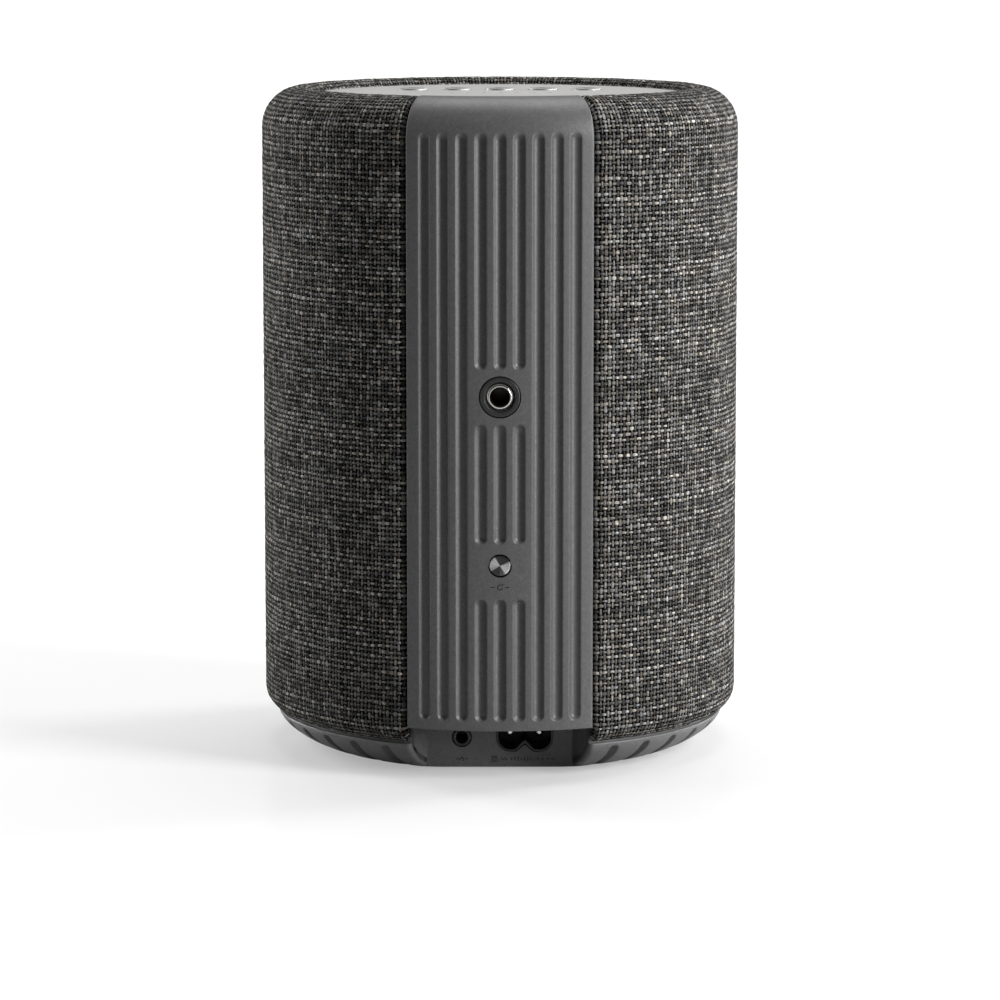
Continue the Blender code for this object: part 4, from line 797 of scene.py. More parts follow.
def add(shape: bmesh.types.BMesh, *others: bmesh.types.BMesh) -> bmesh.types.BMesh:
    """Add other shapes to a shape and free them."""
    for other in others:
        spare = bpy.data.meshes.new("spare")
        other.to_mesh(spare)
        other.free()
        shape.from_mesh(spare)
        bpy.data.meshes.remove(spare)
    return shape


def as_object(name: str, shape: bmesh.types.BMesh) -> bpy.types.Object:
    """Turn a shape into an object at the origin and free the shape."""
    mesh = bpy.data.meshes.new(name)
    shape.to_mesh(mesh)
    shape.free()
    made = bpy.data.objects.new(name, mesh)
    bpy.context.scene.collection.objects.link(made)
    return made


def carve(shape: bmesh.types.BMesh, *tools: bmesh.types.BMesh,
          operation: str = "DIFFERENCE") -> bmesh.types.BMesh:
    """Cut tools out of a shape, or join them to it, one by one.

    Args:
        shape: The closed shape.
        *tools: The closed shapes to use on it.
        operation: The Boolean's operation.

    Returns:
        The result as a new shape.
    """
    piece = as_object("carved", shape)
    cutters = [as_object("tool", tool) for tool in tools]
    for cutter in cutters:
        step = piece.modifiers.new("cut", "BOOLEAN")
        step.operation = operation
        step.solver = "EXACT"
        step.object = cutter
    seen = piece.evaluated_get(bpy.context.evaluated_depsgraph_get())
    result = bmesh.new()
    result.from_mesh(seen.to_mesh())
    seen.to_mesh_clear()
    for spent in (piece, *cutters):
        bpy.data.objects.remove(spent, do_unlink=True)
    return result


@dataclass
class Assembly:
    """A group of pieces that are built and dressed together."""

    def settle(self, name: str, shape: bmesh.types.BMesh, finish: Finish, slot: Slot,
               stands_for: Sequence[str] = (), body: str = "root",
               sharp: float = 35.0) -> bpy.types.Object:
        """Make a piece of a shape and give it its finish, body and the nodes it replaces.

        Args:
            name: The piece's name.
            shape: Its shape, in place.
            finish: Its finish.
            slot: The slot that it takes its finish from; not used.
            stands_for: The CAD nodes that it replaces.
            body: The body that it rides on.
            sharp: Edges that turn more than this many degrees stay sharp.

        Returns:
            The piece's object.
        """
        piece = as_object(name, shape)
        piece.data.materials.append(finish.material())
        piece.data.shade_smooth()
        piece.data.set_sharp_from_angle(angle=math.radians(sharp))
        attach(piece, body)
        if stands_for:
            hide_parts(*stands_for)
        log.info("%s: %d faces on %s", name, len(piece.data.polygons), body)
        return piece

    def carried(self) -> dict[str, Finish]:
        """CAD nodes that stay as they are, with their finishes."""
        return {}

    def build(self) -> None:
        """Make the assembly's pieces."""

    def dress(self) -> None:
        """Give the carried-over CAD nodes their finishes."""
        for name, finish in self.carried().items():
            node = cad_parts[name]
            node.data.materials.clear()
            node.data.materials.append(finish.material())


@dataclass(frozen=True)
class Shell:
    """The outline that the cloth and the spine share, as radius and height from the floor."""

    radius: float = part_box("fabric_cover")[1].x
    height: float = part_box("fabric_cover")[1].z
    rim_width: float = 11.5 * MM
    rim_drop: float = 11.9 * MM
    recess: float = 2.2 * MM
    hem_radius: float = 7 * MM
    hem_start: float = 17 * MM
    hem_turn: float = 64.5
    spine_half: float = 22.2

    @property
    def crest(self) -> float:
        """Radius of the rim's highest ring."""
        return self.radius - self.rim_width

    @property
    def rim_start(self) -> float:
        """Height at which the straight side ends."""
        return self.height - self.rim_drop

    @property
    def plate_top(self) -> float:
        """Height of the top plate's face."""
        return self.height - self.recess

    def rim(self, lip: float, inset: float = 0.0, steps: int = 24) -> list[Point]:
        """From the straight side over the crest to the lip.

        Args:
            lip: How far the lip reaches inwards from the crest.
            inset: How far the line lies inside the outline.
            steps: How many steps the outer curve has.

        Returns:
            The line's points.
        """
        over = arc((self.crest, self.rim_start), (self.rim_width - inset, self.rim_drop - inset),
                   0, 90, steps)
        down = arc((self.crest, self.plate_top), (lip - inset, self.recess - inset),
                   90, 180, max(4, steps // 3))
        return over + down[1:]

    def hem(self, steps: int = 11) -> list[Point]:
        """The rolled lower edge, from its end up to the straight side."""
        middle = (self.radius - self.hem_radius, self.hem_start)
        return arc(middle, (self.hem_radius, self.hem_radius), -self.hem_turn, 0, steps)


SHELL = Shell()


# ---- Cloth ----

@dataclass
class ClothCover(Assembly):
    """The cloth stretched round the grille from one side of the spine to the other."""

    columns: int = 330
    spacing: float = 0.82 * MM
    lip: float = 3.9 * MM
    tail: float = 1.6 * MM
    side_gap: float = 0.42
    fold: float = 1.4 * MM
    turn_in: float = 1.0 * MM
    unevenness: float = 0.055 * MM
    seed: int = 7

    def build(self) -> None:
        """Turn the outline, fold its sides in and roughen it as woven cloth."""
        side = SHELL.spine_half + self.side_gap
        steps = max(4, int(SHELL.rim_width * 1.6 / self.spacing))
        outline = SHELL.hem() + SHELL.rim(self.lip, 0.0, steps)
        outline = spaced(outline, lambda point: self.spacing)
        outline.append((outline[-1][0], outline[-1][1] - self.tail))
        outline.insert(0, (outline[0][0] - self.turn_in, outline[0][1] + self.turn_in / 4))
        turn = 360 - 2 * side
        shape = spin_outline(outline, self.columns, side - 90, turn, closed=False)
        lengths = lengths_along(outline)
        self.map_and_fold(shape, lengths, outline, math.radians(turn))
        cover = self.settle("cloth_cover", shape, COVER_CLOTH, Slot.CLOTH, ["fabric_cover"], sharp=80)

    def map_and_fold(self, shape: bmesh.types.BMesh, lengths: Sequence[float],
                     outline: Sequence[Point], turn: float) -> None:
        """Give each corner its UV in metres, then fold the sides and lay in the yarns.

        Args:
            shape: The turned cloth.
            lengths: The length along the cloth at each row.
            outline: The outline.
            turn: Angle that the cloth covers.
        """
        chance = np.random.default_rng(self.seed)
        by_column = chance.normal(0, 1, (self.columns + 1, len(outline) // 9 + 2))
        by_row = chance.normal(0, 1, (len(outline), self.columns // 9 + 2))
        by_spot = chance.normal(0, 1, (self.columns + 1, len(outline)))
        shape.verts.index_update()
        spots = []
        for vert, row in zip(shape.verts, outline_rows(shape, outline)):
            away = math.remainder(math.atan2(vert.co.y, vert.co.x) - math.pi / 2, math.tau)
            spots.append((away, row))
        layer = shape.loops.layers.uv.new("cloth")
        for face in shape.faces:
            for loop in face.loops:
                away, row = spots[loop.vert.index]
                loop[layer].uv = (away * SHELL.radius + 0.3, lengths[row])
        for vert in shape.verts:
            away, row = spots[vert.index]
            column = round((away / turn + 0.5) * self.columns)
            to_edge = (turn / 2 - abs(away)) * vert.co.xy.length
            slow = by_column[column][row // 9] + by_row[row][column // 9]
            press = self.unevenness * (1.0 + 0.5 * slow + 0.55 * by_spot[column][row])
            press += ease(to_edge, self.fold)
            before = outline[max(row - 1, 0)]
            after = outline[min(row + 1, len(outline) - 1)]
            run = Vector((after[0] - before[0], after[1] - before[1])).normalized()
            radius = vert.co.xy.length
            flat = Vector((vert.co.x, vert.co.y, 0)) / radius
            vert.co -= (flat * run.y - UP * run.x) * press
        bmesh.ops.recalc_face_normals(shape, faces=shape.faces)
        if sum(face.normal.dot(face.calc_center_median()) for face in list(shape.faces)[::97]) < 0:
            bmesh.ops.reverse_faces(shape, faces=shape.faces)

    def carried(self) -> dict[str, Finish]:
        """The cage under the cloth."""
        return {"grille_frame": BLACK_PLASTIC}


# ---- Spine and its fittings ----

@dataclass
class RearSpine(Assembly):
    """The fluted strip that runs up the rear and curls over to the top plate."""

    wall: float = 4 * MM
    foot: float = 15.65 * MM
    lip: float = 6.1 * MM
    underside: float = 192.8 * MM
    flutes: int = 9
    pitch: float = 4.42
    width: float = 3.48 * MM
    depth: float = 1.15 * MM
    soft: float = 0.14 * MM
    low: float = 18.3 * MM
    high: float = 187 * MM
    breaks: tuple[Point, ...] = ((53.9 * MM, 69.9 * MM), (104.35 * MM, 120.05 * MM))
    edge: float = 0.5 * MM
    bezel_height: float = 112.2 * MM
    bezel_hole: float = 6.05 * MM
    reset_height: float = 63.7 * MM
    reset_hole: float = 3.41 * MM

    def runs(self, index: int) -> list[Point]:
        """The lower and upper ends of a flute's runs."""
        ends = [self.low]
        if abs(index) <= 1:
            for pair in self.breaks:
                ends += pair
        ends.append(self.high)
        return list(zip(ends[0::2], ends[1::2]))

    def angles(self) -> list[float]:
        """Section angles from the rear, in degrees, closer together at the flutes' lips."""
        per_mm = 1 / (SHELL.radius / MM * math.radians(1))
        offsets = [0.0, 0.5, 0.95, 1.25, 1.45, 1.6, 1.72, 1.84, 2.0, 2.3]
        half = (self.flutes - 1) // 2
        found = {0.0}
        for index in range(-half, half + 1):
            for offset in offsets:
                found.update((index * self.pitch + offset * per_mm, index * self.pitch - offset * per_mm))
        edge = SHELL.spine_half
        found = {round(a, 5) for a in found if abs(a) < edge - 0.9}
        found.update(sign * (edge - gap) for sign in (-1, 1) for gap in (0, 0.08, 0.16, 0.26, 0.4, 0.8))
        return sorted(found)

    def row_step(self, point: Point) -> float:
        """Spacing of the rows: close together where flutes end."""
        ends = [self.low, self.high] + [end for pair in self.breaks for end in pair]
        near = min(abs(point[1] - end) for end in ends)
        return 0.24 * MM if near < 2.6 * MM else 2.2 * MM

    def build(self) -> None:
        """Turn the strip, press the flutes into it and cut the holes."""
        outer = spaced([(SHELL.radius, self.foot), (SHELL.radius, SHELL.rim_start)], self.row_step)
        outer += SHELL.rim(self.lip, 0.0, 36)[1:]
        outer.append((outer[-1][0], self.underside))
        inner = SHELL.rim(self.lip, self.wall, 8)[:9]
        inner = [(r, min(z, self.underside)) for r, z in reversed(inner)]
        inner.append((SHELL.radius - self.wall, self.foot))
        angles = self.angles()
        half = SHELL.spine_half
        shape = spin_outline(outer + inner, len(angles) - 1, -90 - half, 2 * half)
        tidy_shape(shape)
        even = np.linspace(-half, half, len(angles))
        for vert in shape.verts:
            radius = vert.co.xy.length
            angle = float(np.interp(rear_angle(vert.co), even, angles))
            if radius > SHELL.radius - self.wall / 2 or vert.co.z > SHELL.rim_start:
                radius -= self.pressed(angle, vert.co.z, radius)
            turned = math.radians(angle) - math.pi / 2
            vert.co.x, vert.co.y = radius * math.cos(turned), radius * math.sin(turned)
        reach = 2 * self.wall
        holes = rod(self.bezel_hole, -reach, reach, (0, -SHELL.radius, self.bezel_height), REAR, 72)
        add(holes, rod(self.reset_hole, -reach, reach, (0, -SHELL.radius, self.reset_height), REAR))
        shape = carve(shape, holes)
        self.settle("spine_panel", shape, SPINE_PLASTIC, Slot.SPINE, ["rear_panel"], sharp=50)

    def pressed(self, angle: float, height: float, radius: float) -> float:
        """How deep the face lies below the shell's outline.

        Args:
            angle: The point's turn from the rear, in degrees.
            height: Its height from the floor.
            radius: Its distance from the axis.

        Returns:
            The depth of the flute or of the strip's rounded edge there.
        """
        total = 0.0
        index = round(angle / self.pitch)
        if abs(index) <= (self.flutes - 1) // 2 and radius > SHELL.crest:
            aside = math.radians(abs(angle - index * self.pitch)) * SHELL.radius
            half = self.width / 2
            nearest = min(
                math.hypot(aside, max(0.0, low + half - height, height - high + half))
                for low, high in self.runs(index)
            )
            total = soft_groove(nearest, half, self.depth, self.soft)
        to_side = math.radians(SHELL.spine_half - abs(angle)) * radius
        return total + ease(to_side, self.edge)


@dataclass
class WallInsert(Assembly):
    """The threaded bush in the spine and the serrated bezel round it."""

    height: float = RearSpine.bezel_height
    outer: float = 5.75 * MM
    inner: float = 3.7 * MM
    bush: float = 3.4 * MM
    bore: float = 2.6 * MM
    body: float = 4.6 * MM
    depth: float = 15.9 * MM
    floor: float = 14.1 * MM
    flange: float = 7.5 * MM
    flange_top: float = 4.9 * MM
    flange_low: float = 6.6 * MM
    thread_pitch: float = 0.8 * MM
    thread_depth: float = 0.28 * MM
    teeth: int = 64
    tooth_depth: float = 0.26 * MM

    def build(self) -> None:
        """Turn the bezel and the bush."""
        place = (0, -SHELL.radius, self.height)
        outline = [(self.inner, -0.75 * MM)]
        outline += [(r * MM, z * MM) for r, z in ((3.75, -0.7), (3.95, -0.62), (4.15, -0.5), (4.35, -0.36))]
        outline += arc((4.6 * MM, -0.28 * MM), (0.2 * MM, 0.16 * MM), 160, 90, 3)
        outline += arc((self.outer - 0.3 * MM, -0.4 * MM), (0.3 * MM, 0.28 * MM), 90, 0, 5)
        outline += [(self.outer, -self.flange_top), (self.flange, -self.flange_top)]
        outline += [(self.flange, -self.flange_low), (4.95 * MM, -self.flange_low)]
        outline += [(4.95 * MM, -2.3 * MM), (self.inner, -2.3 * MM)]
        shape = tidy_shape(spin_outline(outline, self.teeth * 4))
        for vert in shape.verts:
            radius = vert.co.xy.length
            if 3.72 * MM < radius < 4.4 * MM and vert.co.z > -1.5 * MM:
                wave = math.cos(self.teeth * math.atan2(vert.co.y, vert.co.x))
                vert.co.z -= self.tooth_depth * (0.5 - 0.5 * wave)
        mark_turn(shape)
        stand(shape, place, REAR)
        self.settle("insert_bezel_ring", shape, BEZEL_PLASTIC, Slot.BLACK, ["insert_bezel"], sharp=55)
        bush = arc((self.bush - 0.25 * MM, -0.65 * MM), (0.25 * MM, 0.25 * MM), 0, 90, 4)
        bush += [(2.95 * MM, -0.42 * MM), (2.68 * MM, -0.95 * MM), (2.62 * MM, -1.15 * MM)]
        level = -1.3 * MM
        while level > -14 * MM:
            bush += [(self.bore, level),
                     (self.bore + self.thread_depth, level - self.thread_pitch / 2)]
            level -= self.thread_pitch
        bush += [(self.bore, level), (self.bore, -self.floor), (0, -self.floor), (0, -self.depth)]
        bush += [(self.body, -self.depth), (self.body, -2.6 * MM), (self.bush, -2.6 * MM)]
        piece = self.settle("threaded_bush", lathe(bush, 64, place, REAR), CHROME, Slot.BRIGHT,
                            ["threaded_insert"])
        # The bore's faces take the near-black metal: painted shade in the hole.
        piece.data.materials.append(BORE_SHADE_METAL.material())
        for face in piece.data.polygons:
            aside = math.hypot(face.center.x, face.center.z - self.height)
            inside = face.center.y > -SHELL.radius + 1.2 * MM
            face.material_index = int(inside and aside < self.bore + 0.3 * MM)


@dataclass
class ResetKey(Assembly):
    """The spun-metal reset button, with its switch and board behind the spine."""

    height: float = RearSpine.reset_height
    radius: float = 3 * MM
    face: float = -0.3 * MM
    flange: float = 4.2 * MM
    flange_top: float = 4.9 * MM
    flange_low: float = 5.7 * MM
    stem: float = 1.5 * MM
    stem_low: float = 6.5 * MM

    def build(self) -> None:
        """Turn the button."""
        edge = 0.22 * MM
        outline = [(0, self.face)]
        outline += [(self.radius * share, self.face) for share in (0.15, 0.4, 0.7)]
        outline += arc((self.radius - edge, self.face - edge), (edge, edge), 90, 0, 4)
        outline += [(self.radius, -self.flange_top), (self.flange, -self.flange_top)]
        outline += [(self.flange, -self.flange_low), (self.stem, -self.flange_low)]
        outline += [(self.stem, -self.stem_low), (0, -self.stem_low)]
        shape = lathe(outline, 64, (0, -SHELL.radius, self.height), REAR)
        self.settle("reset_key", shape, SPUN_RESET_WEDGE_SHADE, Slot.SPUN, ["reset_button"], "reset_button")

    def carried(self) -> dict[str, Finish]:
        """The switch and its board."""
        return {"reset_switch": BLACK_PLASTIC, "reset_board": CIRCUIT_BOARD}


# ---- Base and connector bay ----

@dataclass
class BaseBowl(Assembly):
    """The notched bowl, opened at the rear by the connector bay."""

    radius: float = 67.1 * MM
    top: float = 10 * MM
    lift: float = 0.5 * MM
    flat_radius: float = 52 * MM
    floor: float = 2.2 * MM
    inner_ring: float = 45.9 * MM
    spigot: float = 66 * MM
    spigot_top: float = 17 * MM
    notch_pitch: float = 10.0
    notches: int = 31
    notch_half: float = 1.6 * MM
    notch_depth: float = 1.5 * MM
    notch_top: float = 1.5 * MM
    soft: float = 0.25 * MM
    bay_face: float = 48.9 * MM
    bay_half: float = 21.2 * MM
    flare: float = 0.375
    wall: float = 1.8 * MM
    edge: float = 1.1 * MM
    foot_inner: float = 36 * MM
    foot_outer: float = 42 * MM
    foot_top: float = 1.3 * MM
    foot_gap: float = 0.3 * MM
    screw_place: float = 32.5 * MM
    sink_radius: float = 3.1 * MM
    sink_depth: float = 1.8 * MM
    cavity: float = 64.4 * MM
    slot_half: float = 24.8 * MM
    slot_depth: float = 2.6 * MM
    slot_top: float = 29 * MM
    bay_top: float = 30 * MM
    side_wall_top: float = 15.05 * MM
    beyond: float = 80 * MM

    def angles(self) -> list[float]:
        """Section angles from the front, in degrees, closer together at the notches' sides."""
        per_mm = 1 / (self.radius / MM * math.radians(1))
        offsets = [0.0, 0.5, 0.9, 1.15, 1.32, 1.46, 1.6, 1.78, 2.05, 2.5, 3.4, 4.6]
        found: set[float] = set()
        side = (self.notches - 1) // 2
        for index in range(-side, side + 1):
            for offset in offsets:
                found.update((index * self.notch_pitch + offset * per_mm,
                              index * self.notch_pitch - offset * per_mm))
        last = (side + 0.5) * self.notch_pitch
        steps = 44
        for step in range(steps + 1):
            found.add(last + (180 - last) * step / steps)
            found.add(-last - (180 - last) * step / steps)
        return sorted({round(angle, 5) for angle in found if -180 <= angle < 180})

    def underside(self, steps: int) -> list[Point]:
        """The bowl's outer curve, from its top edge to its flat."""
        return bezier([(self.radius, self.top), (self.radius, self.top - 3.5 * MM),
                       (self.flat_radius + 6 * MM, self.lift), (self.flat_radius, self.lift)], steps)

    def side_gap(self, spot: Vector) -> float:
        """Distance from a point to the bay's nearer side wall, negative inside the bay."""
        half = self.bay_half + (-spot.y - self.bay_face) * self.flare
        return (abs(spot.x) - half) / math.hypot(1, self.flare)

    def build(self) -> None:
        """Turn the bowl, press in the notches, open the bay and add the floor."""
        edge = 0.3 * MM
        outer = arc((self.radius - edge, self.top - edge), (edge, edge), 90, 0, 4)
        curved = [point for point in self.underside(60) if point[1] < self.top - edge * 1.2]
        outer += spaced(curved[::4] + [curved[-1]], lambda point: 0.45 * MM)
        along = lengths_along(outer)
        inside = bezier([(self.cavity, 11.6 * MM), (self.cavity, 8.1 * MM), (55.8 * MM, 2.7 * MM),
                         (49.8 * MM, 2.7 * MM)], 6)
        outline = [(self.spigot, self.spigot_top), (self.spigot, self.top)] + outer
        outline += [(self.inner_ring, self.lift), (self.inner_ring, self.lift + self.floor)]
        outline += inside[::-1] + [(self.cavity, self.spigot_top)]
        angles = self.angles()
        shape = tidy_shape(spin_outline(outline, len(angles), 90 - 180))
        even = np.linspace(-180, 180, len(angles) + 1)
        wanted = angles + [angles[0] + 360]
        for vert, row in zip(shape.verts, outline_rows(shape, outline)):
            radius = vert.co.xy.length
            angle = math.degrees(math.atan2(vert.co.y, vert.co.x)) - 90
            angle = float(np.interp((angle + 180) % 360 - 180, even, wanted))
            turned = math.radians(angle + 90)
            spot = Vector((radius * math.cos(turned), radius * math.sin(turned), vert.co.z))
            if 2 <= row < 2 + len(outer):
                before, after = outline[row - 1], outline[row + 1]
                run = Vector((after[0] - before[0], after[1] - before[1])).normalized()
                press = self.pressed(angle, along[row - 2], radius, spot)
                if spot.z > self.top - 1.5 * edge:
                    run = Vector((0, -1))
                    press = min(press, radius - self.spigot - 0.05 * MM)
                spot += Vector((run.y * math.cos(turned), run.y * math.sin(turned), -run.x)) * press
            vert.co = spot
        self.settle("base_bowl", self.opened(shape), BASE_PLASTIC, Slot.BASE, ["base_shell"], sharp=50)

    def pressed(self, angle: float, along: float, radius: float, spot: Vector) -> float:
        """How deep the bowl's face lies below its outline.

        Args:
            angle: The point's turn from the front, in degrees.
            along: Its distance along the outer curve from the top edge.
            radius: Its distance from the axis.
            spot: The point itself, before it is pressed in.

        Returns:
            The depth of the notch or of the bay's rounded edge there.
        """
        total = 0.0
        index = round(angle / self.notch_pitch)
        if abs(index) <= (self.notches - 1) // 2:
            aside = math.radians(abs(angle - index * self.notch_pitch)) * radius
            above = max(0.0, self.notch_top + self.notch_half - along)
            fade = min(max((radius - 53.5 * MM) / (3 * MM), 0.0), 1.0)
            total = soft_groove(math.hypot(aside, above), self.notch_half, self.notch_depth, self.soft)
            total *= fade
        if spot.y < -self.bay_face:
            total += ease(max(self.side_gap(spot), 0.0), self.edge)
        return total

    def bay_plan(self, near: float, far: float) -> list[Point]:
        """Plan of the bay between two distances behind the axis."""
        half = [self.bay_half + (y - self.bay_face) * self.flare for y in (near, far)]
        return [(-half[0], -near), (-half[1], -far), (half[1], -far), (half[0], -near)]

    def opened(self, ring: bmesh.types.BMesh) -> bmesh.types.BMesh:
        """Cut the bay out of the bowl's ring and add its side walls and the floor.

        Args:
            ring: The notched bowl without its floor.

        Returns:
            The whole bowl.
        """
        pocket = slab(self.bay_plan(self.bay_face - 0.3 * MM, self.beyond), -10 * MM, self.bay_top)
        slot = block((-self.slot_half, -self.bay_face - 0.3 * MM, -9 * MM),
                     (self.slot_half, -self.bay_face + self.slot_depth, self.slot_top))
        opening = carve(pocket, slot, operation="UNION")
        ring = carve(ring, opening)
        spread = math.hypot(1, self.flare)
        curve = [(radius - 1.3 * MM, height + 0.9 * MM) for radius, height in self.underside(24)]
        inside = [(0, self.lift + 0.9 * MM)] + curve[::-1]
        inside += [(curve[0][0], self.spigot_top), (0, self.spigot_top)]
        for side in (-1, 1):
            plan = []
            for y, gap in ((self.bay_face, 0.0), (70 * MM, 0.0), (70 * MM, 1.0), (self.bay_face, 1.0)):
                half = self.bay_half + (y - self.bay_face) * self.flare + gap * self.wall * spread
                plan.append((side * half, -y))
            wall = slab(plan, self.lift, self.side_wall_top)
            add(ring, carve(wall, tidy_shape(spin_outline(inside, 144)), operation="INTERSECT"))
        groove = self.foot_top + self.foot_gap
        near, far = self.foot_inner - self.foot_gap, self.foot_outer + self.foot_gap
        outline = [(0, self.lift), (near, self.lift), (near, groove), (far, groove),
                   (far, self.lift), (self.inner_ring, self.lift),
                   (self.inner_ring, self.lift + self.floor), (0, self.lift + self.floor)]
        disc = tidy_shape(spin_outline(outline, 144))
        sinks = bmesh.new()
        for x in (-self.screw_place, self.screw_place):
            for y in (-self.screw_place, self.screw_place):
                add(sinks, rod(self.sink_radius, -5 * MM, self.sink_depth, (x, y, 0), UP, 32))
        return add(ring, carve(disc, sinks))


@dataclass
class BottomFittings(Assembly):
    """The rubber foot ring and the screws that hold the base."""

    inner: float = BaseBowl.foot_inner
    outer: float = BaseBowl.foot_outer
    top: float = BaseBowl.foot_top
    circle: float = BaseBowl.screw_place
    head: float = 2.8 * MM

    def build(self) -> None:
        """Turn the foot and the screws, and cut the screws' cross slots."""
        edge = 0.3 * MM
        outline = arc((self.inner + edge, edge), (edge, edge), 180, 270, 4)
        outline += arc((self.outer - edge, edge), (edge, edge), 270, 360, 4)
        outline += [(self.outer, self.top), (self.inner, self.top)]
        self.settle("rubber_foot", lathe(outline, 144), RUBBER, Slot.RUBBER, ["foot_ring"])
        places = [(x * self.circle, y * self.circle) for x in (-1, 1) for y in (-1, 1)]
        for index, (x, y) in enumerate(places, start=1):
            low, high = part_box(f"base_screw_{index}")
            middle = (low + high) / 2
            seat, face = -low.z - 0.7 * MM, -low.z
            outline = [(0, face)] + arc((self.head - 0.5 * MM, seat + 0.1 * MM),
                                        (0.5 * MM, 0.6 * MM), 90, 0, 5)
            outline += [(self.head, seat), (1.5 * MM, seat), (1.5 * MM, -high.z), (0, -high.z)]
            screw = lathe(outline, 32, (middle.x, middle.y, 0), -UP)
            for turn in (0, 90):
                bar = block((-1.5 * MM, -0.3 * MM, low.z - MM), (1.5 * MM, 0.3 * MM, low.z + 0.5 * MM))
                bmesh.ops.rotate(bar, verts=bar.verts, cent=(0, 0, 0),
                                 matrix=Matrix.Rotation(math.radians(turn + 45), 3, "Z"))
                bmesh.ops.translate(bar, verts=bar.verts, vec=(middle.x, middle.y, 0))
                screw = carve(screw, bar)
            self.settle(f"base_screw_{index}_fine", screw, ZINC_STEEL, Slot.STEEL,
                        [f"base_screw_{index}"])


